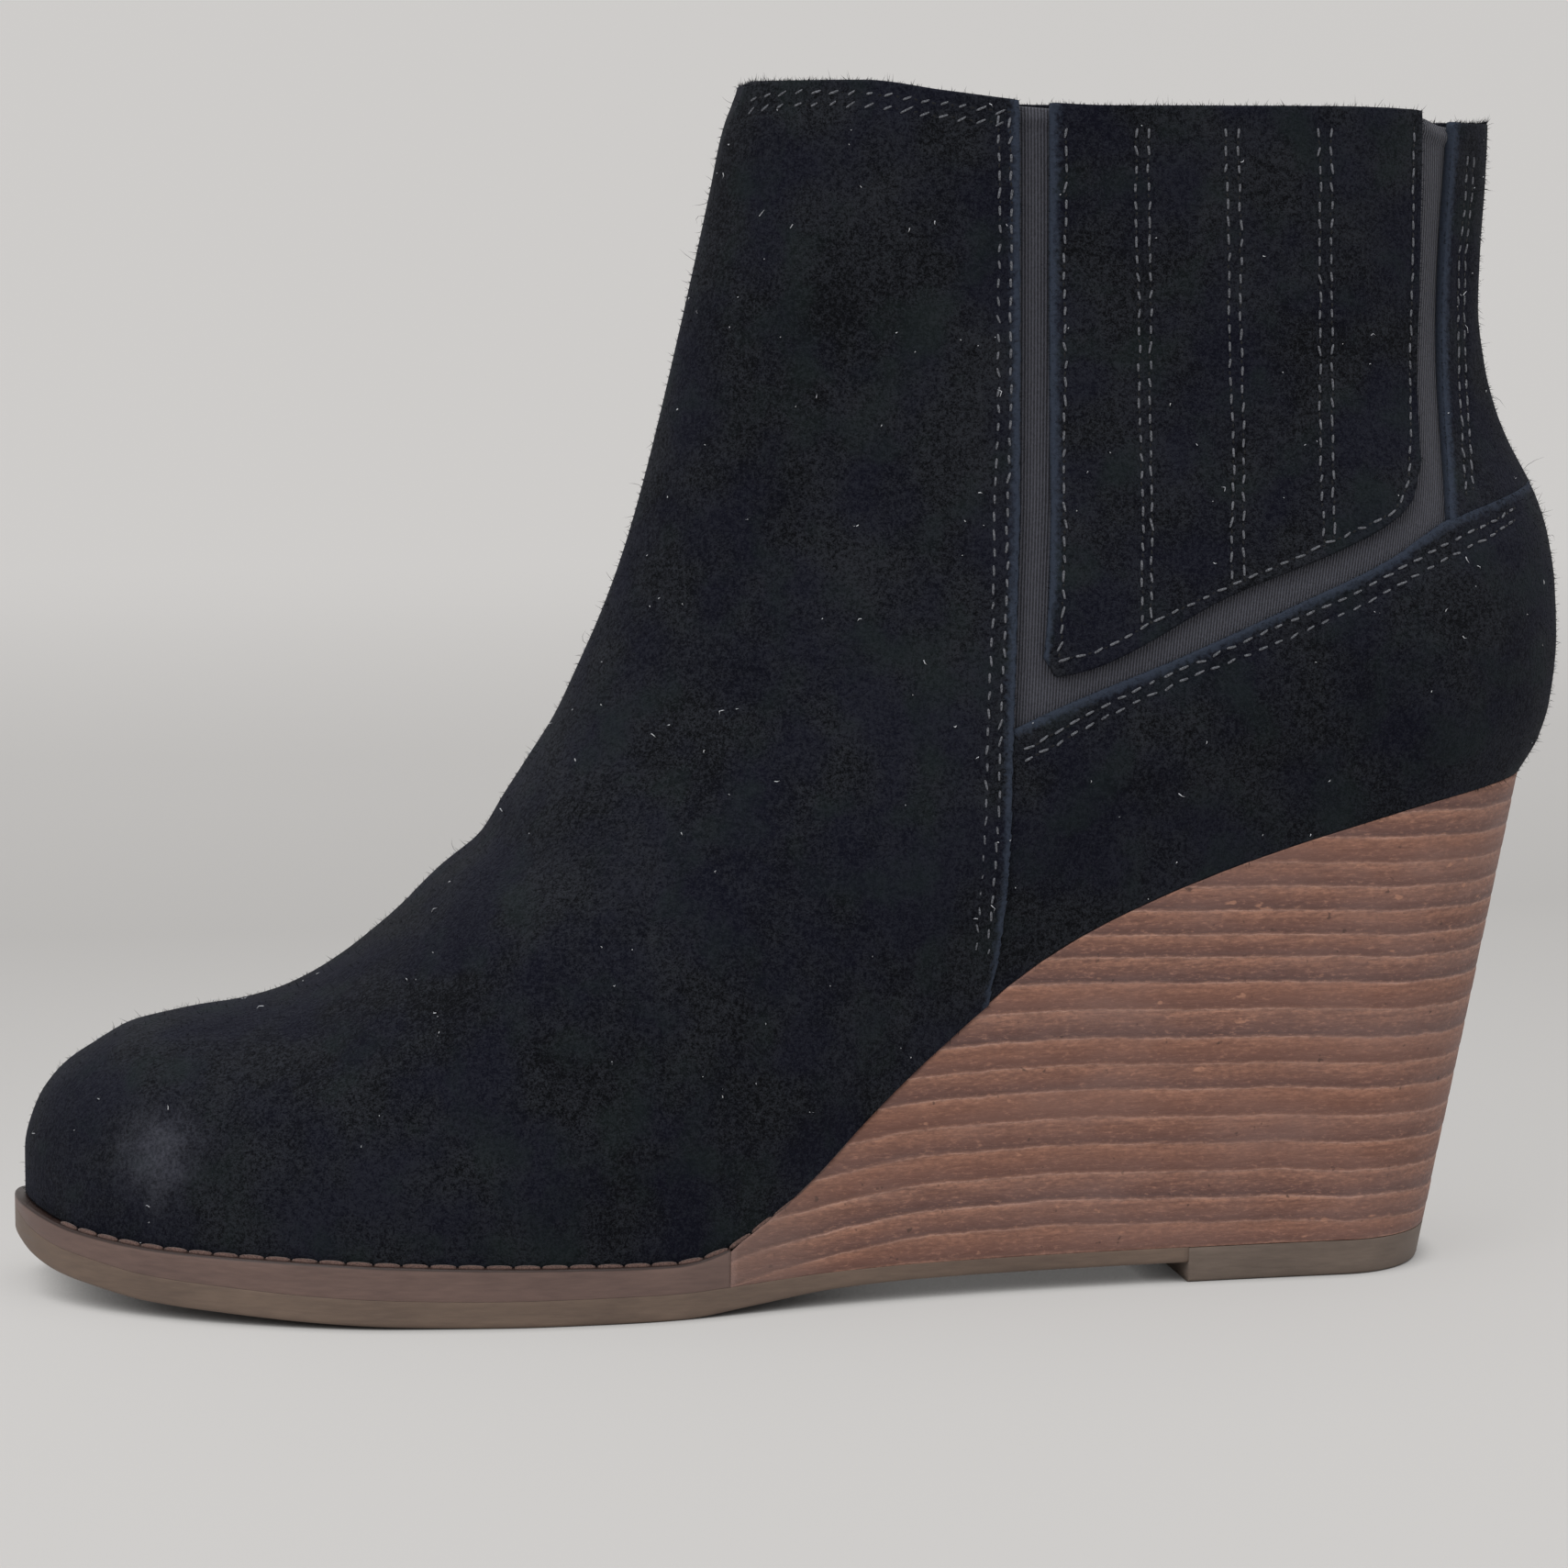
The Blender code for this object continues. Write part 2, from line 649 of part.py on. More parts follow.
def build_overlays(boot, tools):
    """Suede pieces behind the vamp: heel counter, back stay and a panel on each side's elastic."""
    black = (0.012, 0.013, 0.018)
    back_end = HEEL_X + FORM_MARGIN
    vamp_edge = seam_curve(VAMP_EDGE, 17)
    vamp_edge[:, 0] += GAP
    counter_top = seam_curve(COUNTER_EDGE, 13)

    def vamp_x(z):
        return np.interp(z, vamp_edge[::-1, 1], vamp_edge[::-1, 0])

    top = counter_top[counter_top[:, 0] > vamp_x(counter_top[:, 1]) + 4 * GAP]
    left = vamp_edge[(vamp_edge[:, 1] < top[0, 1]) & (vamp_edge[:, 1] > bed_z(vamp_edge[:, 0]) + 4 * GAP)]
    counter = shell("counter", -SUEDE, 0.0, boot, colour=black, roughness=0.95)
    start = np.array([[vamp_x(top[0, 1]), top[0, 1] - 2 * GAP]])
    outline = np.r_[top[::-1], start, left, sole_edge(back_end, left[-1, 0])[::-1]]
    combine(counter, prism("counter_outline", outline, tools), "INTERSECT")

    stay_edge = seam_curve(BACK_STAY_EDGE, 7)
    foot_x = stay_edge[-1, 0]
    corner = [[foot_x, np.interp(foot_x, counter_top[:, 0], counter_top[:, 1])]]
    over = np.r_[corner, counter_top[counter_top[:, 0] > foot_x + GAP]] + [0, GAP]
    stay_edge = stay_edge[(stay_edge[:, 1] < collar_line(stay_edge[:, 0])) & (stay_edge[:, 1] > over[0, 1])]
    outline = np.r_[over, collar_edge(back_end, stay_edge[0, 0]), stay_edge]
    stay = shell("back_stay", -SUEDE, 0.0, boot, colour=black, roughness=0.95)
    combine(stay, prism("back_stay_outline", outline, tools), "INTERSECT")

    panel = seam(GORE_PANEL)
    panel = panel[panel[:, 1] < COLLAR_TOP]
    first, last = panel[0, 0], panel[-1, 0]
    panel = np.r_[[[first, collar_line(first)]], panel, [[last, collar_line(last)]]]
    for side, sign in (("lateral", -1), ("medial", 1)):
        piece = shell("gore_panel_" + side, -SUEDE, 0.0, boot, colour=black, roughness=0.95)
        cutter = prism("gore_outline_" + side, panel, tools)
        for corner in cutter.data.vertices:
            corner.co.y = 0.0 if corner.co.y * sign < 0 else corner.co.y
        combine(piece, cutter, "INTERSECT")


def build_insole(boot):
    """A footbed inside the lining, on the sole's top."""
    inset = SUEDE + GAP + LINING + INSOLE_EDGE_GAP
    loops = [plan_ring(lambda x, up=up: bed_z(x) + up, TOE_X, 0.0, inset) for up in (GAP, GAP + INSOLE)]
    stack("insole", loops, boot, colour=(0.10, 0.07, 0.05), roughness=0.7)


def ledge(x):
    """How far the sole stands out from the upper, down to nothing behind the wedge's front."""
    return WELT_LEDGE * ease((WEDGE_FRONT_X + LEDGE_ENDS - x) / LEDGE_FADE)


def build_sole(boot, tools):
    """Outsole, heel tread, midsole with its stitched ledge, and the stacked wedge."""
    brown = (0.16, 0.085, 0.055)

    outsole_end, midsole_end = LIFT_FRONT_X - GAP, WEDGE_FRONT_X - GAP
    heights = (tread_z, lambda x: tread_z(x) + TREAD_BEVEL, outsole_top_z)
    insets = (TREAD_BEVEL, 0.0, 0.0)
    loops = [
        plan_ring(h, TOE_X, ledge, inset, outsole_end + FORM_MARGIN) for h, inset in zip(heights, insets)
    ]
    outsole = stack("outsole", loops, boot, colour=(0.10, 0.075, 0.055), roughness=0.6)
    combine(outsole, block("outsole_end", outsole_end, tools), "DIFFERENCE")

    bevels = ((0.0, LIFT_BACK_BEVEL), (TREAD_BEVEL / 2, LIFT_BACK_BEVEL / 2))
    bevels += ((2 * TREAD_BEVEL, 0.0), (LIFT_THICKNESS - GAP, 0.0))
    loops = [plan_ring(level(up), LIFT_FRONT_X - FORM_MARGIN, 0.0, inset) for up, inset in bevels]
    lift = stack("heel_tread", loops, boot, colour=(0.07, 0.065, 0.055), roughness=0.7)
    combine(lift, block("heel_tread_end", LIFT_FRONT_X, tools), "INTERSECT")

    heights = (lambda x: outsole_top_z(x) + GAP, bed_z)
    loops = [plan_ring(h, TOE_X, ledge, 0.0, midsole_end + FORM_MARGIN) for h in heights]
    midsole = stack("midsole", loops, boot, colour=brown, roughness=0.6)
    combine(midsole, block("midsole_end", midsole_end, tools), "DIFFERENCE")

    loops = []
    for i in range(-1, 2 * int(np.ceil(HEEL_HEIGHT / LAYER)) + 1):
        up = i * LAYER / 2
        swell = LAYER_SWELL * (i % 2)
        x_front = WEDGE_FRONT_X - FORM_MARGIN
        loops.append(plan_ring(level(up), x_front, lambda x, s=swell: s + ledge(x), points=WEDGE_POINTS))
    wedge = stack("wedge", loops, boot, colour=(0.22, 0.10, 0.06), roughness=0.6)
    x = np.linspace(HEEL_X, WEDGE_FRONT_X, 36)
    foot = np.r_[np.linspace(WEDGE_FRONT_X, LIFT_FRONT_X - 2 * GAP, 16), LIFT_FRONT_X - GAP, HEEL_X]
    floor = np.where(foot < LIFT_FRONT_X - GAP, outsole_top_z(foot) + GAP, LIFT_THICKNESS)
    outline = np.r_[np.c_[x, bed_z(x)], np.c_[foot, floor]]
    combine(wedge, prism("wedge_outline", outline, tools), "INTERSECT")


def block(name, x, collection):
    """A cutter that holds everything behind x."""
    far, high = x + LENGTH, COLLAR_TOP
    return prism(name, [(x, -high), (far, -high), (far, high), (x, high)], collection)


build()
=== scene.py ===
"""Looks of the wedge ankle boot: suede, elastic, thread, stacked wedge and sole, on a plain floor.

Metres, +Z up, toe towards -X, outer (lateral) side towards -Y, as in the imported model. Every piece
takes its form from half_width(), which gives the boot's half breadth at a place in the side view.
"""

import bmesh
import bpy
import numpy as np
from mathutils import Matrix, Vector


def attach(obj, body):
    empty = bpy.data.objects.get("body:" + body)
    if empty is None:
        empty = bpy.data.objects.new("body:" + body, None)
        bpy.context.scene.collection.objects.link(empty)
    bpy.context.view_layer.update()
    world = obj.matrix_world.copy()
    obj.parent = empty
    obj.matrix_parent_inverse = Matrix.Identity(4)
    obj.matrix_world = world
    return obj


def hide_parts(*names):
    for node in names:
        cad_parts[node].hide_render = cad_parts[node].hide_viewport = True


MM = 0.001

# Overall form
LENGTH = 249.1 * MM  # toe to the back of the heel counter, along the floor
HEEL_CENTRE = 205.8 * MM  # toe to the middle of the heel's tread
HEEL_HEIGHT = 79.5 * MM  # floor to the heel seat, at the back
SHAFT_RISE = 111.5 * MM  # heel seat to the top of the collar
TOE_BOX_HEIGHT = 31.0 * MM  # welt to the top of the toe box
BALL_WIDTH = 83.0 * MM  # upper at the ball, where it meets the welt
SEAT_WIDTH = 61.0 * MM  # upper at the heel seat
COLLAR_WIDTH = 53.0 * MM  # top opening, side to side
TOE_SWING = 8.0 * MM  # how far the toe turns inwards
TOE_SPRING = 5.6 * MM  # how far the toe's tip clears the floor
TOE_ROUND = 56.0 * MM  # length of the toe's round plan
TOE_SWING_FROM = 0.60  # share of LENGTH where the plan starts to turn inwards
SWING_FADE = 0.60  # share of the upper's height where that turn has gone
COUNTER_SWELL = 3.2 * MM  # fullness of the heel over its seat
TOE_SWELL = 0.3  # share of that fullness at the toe
SWELL_FROM, SWELL_FULL = 0.45, 0.75  # shares of LENGTH between which it grows
BACK_HOLLOW = 13.5 * MM  # depth of the curve over the heel
SEAT_TUCK = 0.44  # share of that depth at the heel seat

# Sole
SOLE_FRONT = 8.3 * MM  # outsole and midsole together, at the ball
OUTSOLE_FRONT = 4.3 * MM  # outsole at the ball
OUTSOLE_ARCH = 2.6 * MM  # outsole under the wedge
LIFT_THICKNESS = 5.8 * MM  # rubber tread under the heel
LIFT_LENGTH = 45.2 * MM
WELT_LEDGE = 2.2 * MM  # midsole beyond the upper
LEDGE_ENDS = 20.0 * MM  # how far behind the wedge's front the ledge has faded to nothing
LEDGE_FADE = 35.0 * MM  # length over which it fades
WEDGE_LENGTH = 137.0 * MM  # wedge, from its thin front to the heel seat's back
WEDGE_BACK_SLOPE = 0.2055  # how far the back leans in, for each unit of height
WEDGE_SIDE_SLOPE = 0.068

# Upper
LINING = 1.6 * MM  # lining and elastic together
SUEDE = 1.2 * MM
VAMP_STEP = 0.5 * MM  # the vamp's edge over the counter
GAP = 0.3 * MM  # between pieces that meet
COLLAR_DROP = 6.8 * MM  # the collar's back below its front
GORE_DIP = 1.8 * MM  # elastic's top edge below the suede's

SHAFT_FROM = 0.23  # share of COLLAR_TOP where the foot's sections start to give way
SHAFT_FULL = 0.52  # and where those of the shaft are alone
TOE_POWER = 2.15  # how square the plan's toe is: 2 is an ellipse
FOOT_POWER = 2.25  # the same for a section across the foot
SHAFT_POWER = 2.0  # for the front of the shaft's plan
HEEL_POWER = 2.1  # and for its back

HEEL_X = LENGTH - HEEL_CENTRE
TOE_X = -HEEL_CENTRE
COLLAR_TOP = HEEL_HEIGHT + SHAFT_RISE
SEAT_BACK_X = HEEL_X - SEAT_TUCK * BACK_HOLLOW
WEDGE_FRONT_X = SEAT_BACK_X - WEDGE_LENGTH
LIFT_BACK_X = SEAT_BACK_X - WEDGE_BACK_SLOPE * (HEEL_HEIGHT - LIFT_THICKNESS)
LIFT_FRONT_X = LIFT_BACK_X - LIFT_LENGTH

# Top of the sole in side view. station: share of LENGTH from the toe. spring: share of TOE_SPRING
# added to SOLE_FRONT. climb: share of the climb from SOLE_FRONT to HEEL_HEIGHT.
BED = (
    # station, spring, climb
    (0, 1.08, 0), (.03, .68, 0), (.08, .46, 0), (.16, .38, 0), (.26, .22, 0), (.34, .14, 0),
    (.39, .06, .004), (.422, 0, .03), (.45, 0, .088), (.482, 0, .18), (.513, 0, .29),
    (.545, 0, .395), (.577, 0, .49), (.612, 0, .59), (.65, 0, .675), (.7, 0, .757), (.755, 0, .83),
    (.83, 0, .91), (.9, 0, .972), (.96, 0, .998), (1.02, 0, 1.005),
)

# Underside of the sole, the same stations. spring: share of TOE_SPRING. arch: share of the arch's
# clearance, which is what the heel tread has over the outsole.
TREAD = (
    # station, spring, arch
    (0, 1.46, 0), (.008, 1.12, 0), (.022, .84, 0), (.041, .66, 0), (.071, .43, 0), (.117, .29, 0),
    (.178, .13, 0), (.24, .03, 0), (.288, 0, 0), (.392, 0, 0), (.44, 0, .35), (.5, 0, .85),
    (.56, 0, 1), (1, 0, 1),
)

# Front line in side view, from the toe's foot to the collar. toe: share of TOE_BOX_HEIGHT above
# SOLE_FRONT. rise: share of what is left up to COLLAR_TOP.
FRONT = (
    # station, toe, rise
    (0, .18, 0), (0, .42, 0), (.008, .66, 0), (.0255, .85, 0), (.046, .96, 0), (.07, 1, .013),
    (.092, 1, .021), (.112, 1, .027), (.136, 1, .032), (.16, 1, .042), (.183, 1, .059),
    (.207, 1, .083), (.23, 1, .112), (.253, 1, .144), (.275, 1, .177), (.3015, 1, .233),
    (.3325, 1, .314), (.368, 1, .43), (.386, 1, .508), (.4, 1, .586), (.423, 1, .74),
    (.4435, 1, .89), (.4505, 1, .945), (.462, 1, 1),
)

# Back line in side view. rise: share of SHAFT_RISE over the heel seat. inset: share of
# BACK_HOLLOW in from the fullest point of the counter.
BACK = (
    # rise, inset
    (0, SEAT_TUCK), (.05, .2), (.105, .07), (.2, 0), (.27, .02), (.34, .1), (.4, .25), (.44, .42),
    (.48, .6), (.53, .77), (.59, .9), (.68, .99), (.76, .97), (.86, .92), (.94, .9), (1, .96),
)

# Plan of the upper's foot, as half breadths about the centre line, before the toe and the heel
# are rounded. lateral and medial: shares of BALL_WIDTH at the front, of SEAT_WIDTH at the back.
PLAN_FRONT = (
    # station, lateral, medial
    (0, .43, .315), (.12, .49, .362), (.22, .53, .429), (.29, .537, .461), (.345, .524, .458),
    (.46, .46, .389),
)
PLAN_BACK = (
    # station, lateral, medial
    (.6, .541, .467), (.72, .513, .475), (.85, .5, .492), (1.02, .5, .5),
)

# How the breadth goes from the foot's to the collar's. height: share from the sole to the
# collar. towards_collar: share of the way. swell: share of COUNTER_SWELL.
SIDE = (
    # height, towards_collar, swell
    (0, 0, 0), (.08, 0, .55), (.18, .04, 1), (.3, .22, .9), (.45, .58, .45), (.62, .9, .1),
    (.8, 1, 0), (1, 1, 0),
)

# Top edge of the collar. along: share of the way from its front to the boot's back.
COLLAR = (
    # along, drop
    (0, .16), (.03, .02), (.12, 0), (.21, .24), (.32, .5), (.4, .58), (.66, .6), (.79, .7),
    (.83, .96), (.88, 1.02), (1, 1),
)

# How far the shaft's round front and back reach into its sides. height: share of COLLAR_TOP.
# front: share of the collar's length, front to back. back: share of SEAT_WIDTH.
ROUNDING = (
    # height, front, back
    (0, .34, .3), (.26, .5, .42), (.4, .64, .5), (.56, .56, .56), (.78, .5, .66), (1, .5, .72),
)

# Seams in side view. along: share of LENGTH from the toe. up: share of COLLAR_TOP.
VAMP_EDGE = (
    (.62, 1.02), (.62, .84), (.619, .69), (.614, .545), (.61, .455), (.607, .355), (.602, .29),
    (.595, .245), (.584, .18),
)
COUNTER_EDGE = (
    # along, up
    (.59, .459), (.646, .492), (.718, .528), (.791, .568), (.855, .605), (.9, .639), (.935, .652),
    (.99, .668), (1.03, .678),
)
BACK_STAY_EDGE = (
    # along, up
    (.915, 1.02), (.911, .947), (.907, .868), (.905, .798), (.903, .705), (.9, .639),
)
GORE_PANEL = (
    # along, up
    (.641, 1.02), (.641, .694), (.638, .582), (.633, .533), (.639, .518), (.653, .521),
    (.754, .583), (.83, .621), (.856, .638), (.874, .658), (.881, .689), (.882, .752), (.885, .845),
    (.885, 1.02),
)


def smooth(table, x, column=1):
    """Reads a table at x by cubic pieces with no overshoot. Outside the table its ends hold."""
    rows = np.array(table, float)
    rows = rows[np.argsort(rows[:, 0], kind="stable")]
    a, b = rows[:, 0], rows[:, column]
    step = np.diff(a)
    slope = np.diff(b) / step
    tangent = np.zeros_like(b)
    same = slope[:-1] * slope[1:] > 0
    w0, w1 = 2 * step[1:] + step[:-1], step[1:] + 2 * step[:-1]
    safe = np.where(same, 1.0, 0.0)
    tangent[1:-1] = safe * (w0 + w1) / (
        w0 / np.where(same, slope[:-1], 1) + w1 / np.where(same, slope[1:], 1)
    )
    tangent[0], tangent[-1] = slope[0], slope[-1]
    x = np.clip(np.asarray(x, float), a[0], a[-1])
    i = np.clip(np.searchsorted(a, x, "right") - 1, 0, len(step) - 1)
    t = (x - a[i]) / step[i]
    return (
        (1 + 2 * t) * (1 - t) ** 2 * b[i]
        + t * (1 - t) ** 2 * step[i] * tangent[i]
        + t * t * (3 - 2 * t) * b[i + 1]
        + t * t * (t - 1) * step[i] * tangent[i + 1]
    )


def run_along(points):
    """Distance of each place in a row of them from the first."""
    return np.r_[0, np.cumsum(np.linalg.norm(np.diff(points, axis=0), axis=1))]


def at_run(at, run, points):
    """Places at distances along a row of them."""
    return np.stack([np.interp(at, run, column) for column in np.transpose(points)], -1)


def ease(t):
    """A smooth climb from 0 to 1."""
    t = np.clip(t, 0, 1)
    return t * t * (3 - 2 * t)


def station(x):
    """Share of LENGTH from the toe."""
    return (np.asarray(x, float) - TOE_X) / LENGTH


def station_x(share):
    """The place at a share of LENGTH from the toe."""
    return TOE_X + np.asarray(share, float) * LENGTH


def bed_z(x):
    """Top of the sole."""
    s = station(x)
    climb = smooth(BED, s, 2) * (HEEL_HEIGHT - SOLE_FRONT)
    return SOLE_FRONT + smooth(BED, s, 1) * TOE_SPRING + climb


def tread_z(x):
    """Underside of the outsole."""
    s = station(x)
    return smooth(TREAD, s, 1) * TOE_SPRING + smooth(TREAD, s, 2) * (LIFT_THICKNESS - OUTSOLE_ARCH)


def outsole_top_z(x):
    """Top of the outsole, which thins from the ball to the arch."""
    arch = smooth(TREAD, station(x), 2)
    return tread_z(x) + OUTSOLE_FRONT + arch * (OUTSOLE_ARCH - OUTSOLE_FRONT)


def front_line(samples=400):
    """Places (x, z) along the front line, closely spaced, from the toe to the collar."""
    rows = np.array(FRONT, float)
    x = station_x(rows[:, 0])
    above = COLLAR_TOP - SOLE_FRONT - TOE_BOX_HEIGHT
    z = SOLE_FRONT + rows[:, 1] * TOE_BOX_HEIGHT + rows[:, 2] * above
    z[0] = bed_z(x[0])
    run = run_along(np.c_[x, z])
    at = np.linspace(0, run[-1], samples)
    return smooth(np.c_[run, x], at), smooth(np.c_[run, z], at)


FRONT_X, FRONT_Z = front_line()
FRONT_RUN = run_along(np.c_[FRONT_X, FRONT_Z])


def front_x(z):
    """The front line's place at a height."""
    return np.interp(z, FRONT_Z, FRONT_X)


def ridge_z(x):
    """Height of the front line over a place, carried on up past the collar."""
    rising = np.maximum.accumulate(FRONT_X) + np.arange(len(FRONT_X)) * 1e-9
    beyond = np.clip(x - FRONT_X[-1], 0, None)
    return np.interp(x, rising, FRONT_Z) + 4 * beyond


def back_x(z):
    """Back line: the wedge's lean below the heel seat, the counter and the shaft above it."""
    z = np.asarray(z, float)
    below = SEAT_BACK_X - WEDGE_BACK_SLOPE * (HEEL_HEIGHT - z)
    above = HEEL_X - BACK_HOLLOW * smooth(BACK, (z - HEEL_HEIGHT) / SHAFT_RISE)
    return np.where(z < HEEL_HEIGHT, below, above)


def round_off(u, power):
    """1 where u is 0, and falling to 0 as an arc does where u reaches 1."""
    return (1 - np.clip(u, 0, 1) ** power) ** (1 / power)


def plan_half(x, side):
    """Half breadth of the foot before the toe and the heel are rounded. side: 1 lateral, 2 medial."""
    rows = [(r[0], r[side] * BALL_WIDTH) for r in PLAN_FRONT]
    rows += [(r[0], r[side] * SEAT_WIDTH) for r in PLAN_BACK]
    return smooth(rows, station(x))


def half_width(x, z, side):
    """Half breadth of the boot about its centre line, at a place in the side view."""
    bed = bed_z(x)
    share = np.clip((z - bed) / (COLLAR_TOP - bed), 0, 1)
    foot = plan_half(x, side)
    grown = ease((station(x) - SWELL_FROM) / (SWELL_FULL - SWELL_FROM))
    swell = COUNTER_SWELL * smooth(SIDE, share, 2) * (TOE_SWELL + (1 - TOE_SWELL) * grown)
    core = foot + (COLLAR_WIDTH / 2 - foot) * smooth(SIDE, share, 1) + swell
    core = core - WEDGE_SIDE_SLOPE * np.clip(bed - z, 0, None)
    core = core * round_off(1 - (x - TOE_X) / TOE_ROUND, TOE_POWER)
    height = z / COLLAR_TOP
    reach = smooth(ROUNDING, height, 1) * (HEEL_X - front_x(COLLAR_TOP))
    from_front = 1 - (x - front_x(z)) / reach
    up_section = (z - bed) / np.maximum(ridge_z(x) - bed, GAP)
    shaft = ease((height - SHAFT_FROM) / (SHAFT_FULL - SHAFT_FROM))
    front = (1 - shaft) * np.clip(up_section, 0, 1) + shaft * np.clip(from_front, 0, 1)
    core = core * round_off(front, FOOT_POWER + (SHAFT_POWER - FOOT_POWER) * shaft)
    heel_reach = smooth(ROUNDING, height, 2) * SEAT_WIDTH
    return core * round_off(1 - (back_x(z) - x) / heel_reach, HEEL_POWER)


def centre_y(x, z):
    """Centre line in plan: it swings inwards at the toe and is straight up the shaft."""
    bed = bed_z(x)
    up = np.clip((z - bed) / (COLLAR_TOP - bed), 0, 1)
    turned = ease((TOE_SWING_FROM - station(x)) / TOE_SWING_FROM)
    return TOE_SWING * turned * (1 - ease(up / SWING_FADE))


def seam(table):
    """A seam's table as side-view places."""
    rows = np.array(table, float)
    return np.c_[station_x(rows[:, 0]), rows[:, 1] * COLLAR_TOP]


def seam_curve(table, samples=9):
    """A seam's table as a smooth run of side-view places."""
    rows = seam(table)
    run = run_along(rows)
    at = np.linspace(0, run[-1], samples)
    return np.c_[smooth(np.c_[run, rows[:, 0]], at), smooth(np.c_[run, rows[:, 1]], at)]


def collar_line(x, lower=0.0):
    """Top edge of the upper, which drops a little towards the back."""
    start = front_x(COLLAR_TOP)
    return COLLAR_TOP - COLLAR_DROP * smooth(COLLAR, (x - start) / (HEEL_X - start)) - lower


# Camera, as the photo has it
CAMERA_TURN = 10.0  # degrees the view is turned round the boot, from straight at its side
CAMERA_TILT = 7.0  # degrees the view looks down
CAMERA_AWAY = 900.0 * MM
CAMERA_TARGET = (-84.1 * MM, 0.0, 78.6 * MM)
CAMERA_LENS = 127.97  # millimetres, on a film 36 mm wide

LAMPS = (
    # name, place, what it faces, side, watts
    ("overhead", (-0.1, -0.1, 1.5), (-0.08, 0, 0.05), 1.6, 14),
    ("key", (-1.1, -1.0, 0.9), (-0.08, 0, 0.08), 0.9, 9),
    ("fill", (1.2, -1.0, 0.7), (-0.08, 0, 0.08), 0.9, 4),
)
WORLD_LIGHT = 0.55

# Soft parts
SIDES = BOTTOM, TOP, LEFT, RIGHT = range(4)  # sides of a sheet, as runs() gives them
COLLAR_ROLL = 0.55 * MM  # how far the elastic's folded top edge stands out
COLLAR_ROLL_HIGH = 2.6 * MM
ROLL_GROOVE = 0.08 * MM  # groove below that edge
ROLL_GROOVE_WIDE = 0.35 * MM
PANEL_STEP = 0.15 * MM  # gore panel over the form
STAY_STEP = 0.1 * MM
LEATHER_ROUND = 0.4 * MM  # radius of a cut edge's corner
SOLE_ROUND = 0.6 * MM  # radius of the sole's lower edge
SOLE_JOINT = 0.02 * MM  # gap at a joint between pieces of the sole
LINING_IN = SUEDE + GAP + 0.1 * MM
LINING_THICK = LINING - 0.2 * MM
TUCK = 4.0 * MM  # how far a piece runs on under the one that covers it

# Thread
STITCH_PITCH = 2.75 * MM
STITCH_LONG = 1.5 * MM
STITCH_WIDE = 0.42 * MM
STITCH_OVER = 0.12 * MM  # middle of a stitch over the trough it lies in
STITCH_JOG = 0.07 * MM  # how far a stitch strays from its row
STITCH_UNEVEN = 0.12  # spread of its length, as a share
STITCH_SLANT = 0.14  # spread of its slope from the row
ROW_WANDER = 0.22 * MM  # how far a row strays from its line, in two waves
WANDER_SHORT = 7.3 * MM
WANDER_LONG = 17 * MM
HOLE_LONG = 0.7 * MM  # painted shade: a dark disc sunk at the hole between two stitches
HOLE_UNDER = 0.05 * MM
TROUGH_DEEP = 0.28 * MM  # how far the suede is drawn in along a row
TROUGH_WIDE = 0.9 * MM
EDGE_ROW = (-99 * MM, -87 * MM)  # where the welt's thread comes up on the suede
EDGE_ROW_UP = 1.3 * MM
EDGE_PITCH = 1.6 * MM
EDGE_STITCH = 1.7 * MM
EDGE_OVER = 0.35 * MM
COLLAR_ROWS_DOWN = (1.8 * MM, 3.7 * MM)  # the two rows below the collar's edge
COLLAR_PITCH = 2.8 * MM
COLLAR_STITCH = 1.3 * MM
WELT_PITCH = 4.3 * MM
WELT_STITCH_SIZE = (0.93 * WELT_PITCH, 0.9 * MM, 0.95 * MM)
WELT_STITCH_OUT = 0.55  # share of the ledge's breadth, out from the upper
WELT_STITCH_END = -80 * MM
WELT_STITCH_FROM = 5 * MM  # behind the toe's tip

# Floor that curves up into a wall, and whose tone glows a little: painted light that lifts the shadows on it
FLOOR_REACH = 3.0
WALL_FROM = 1.2  # metres behind the boot
WALL_ROUND = 0.8
GLOW_SHARE = 0.72  # share taken from the floor's own colour
GLOW = 0.73  # strength of the glow
GLOW_FADE = 7 * MM  # how near a thing has to be to dim the glow, which paints a soft contact shadow

RIB_PITCH = 0.53 * MM  # upright ribs of the elastic
SCUFF = (-189 * MM, -24 * MM, 26 * MM)  # middle of the worn patch on the toe
SCUFF_WIDE = 13 * MM  # and how far it reaches

# Hairs of the nap
FIBRE_LONG = 1.7 * MM
FIBRE_RARE = 14  # short hairs for each long one
LINT_LONG = 0.6 * MM
LINT_RARE = 60  # short hairs for each piece of lint
LINT_OVER = 0.12 * MM  # height of the lint over the nap
FUZZ_LONG = 0.75 * MM  # a short hair
FUZZ_THICK = 0.1 * MM
FIBRE_THICK = 0.08 * MM
LINT_THICK = 0.19 * MM
EDGE_FUZZ_LONG = 0.8 * MM

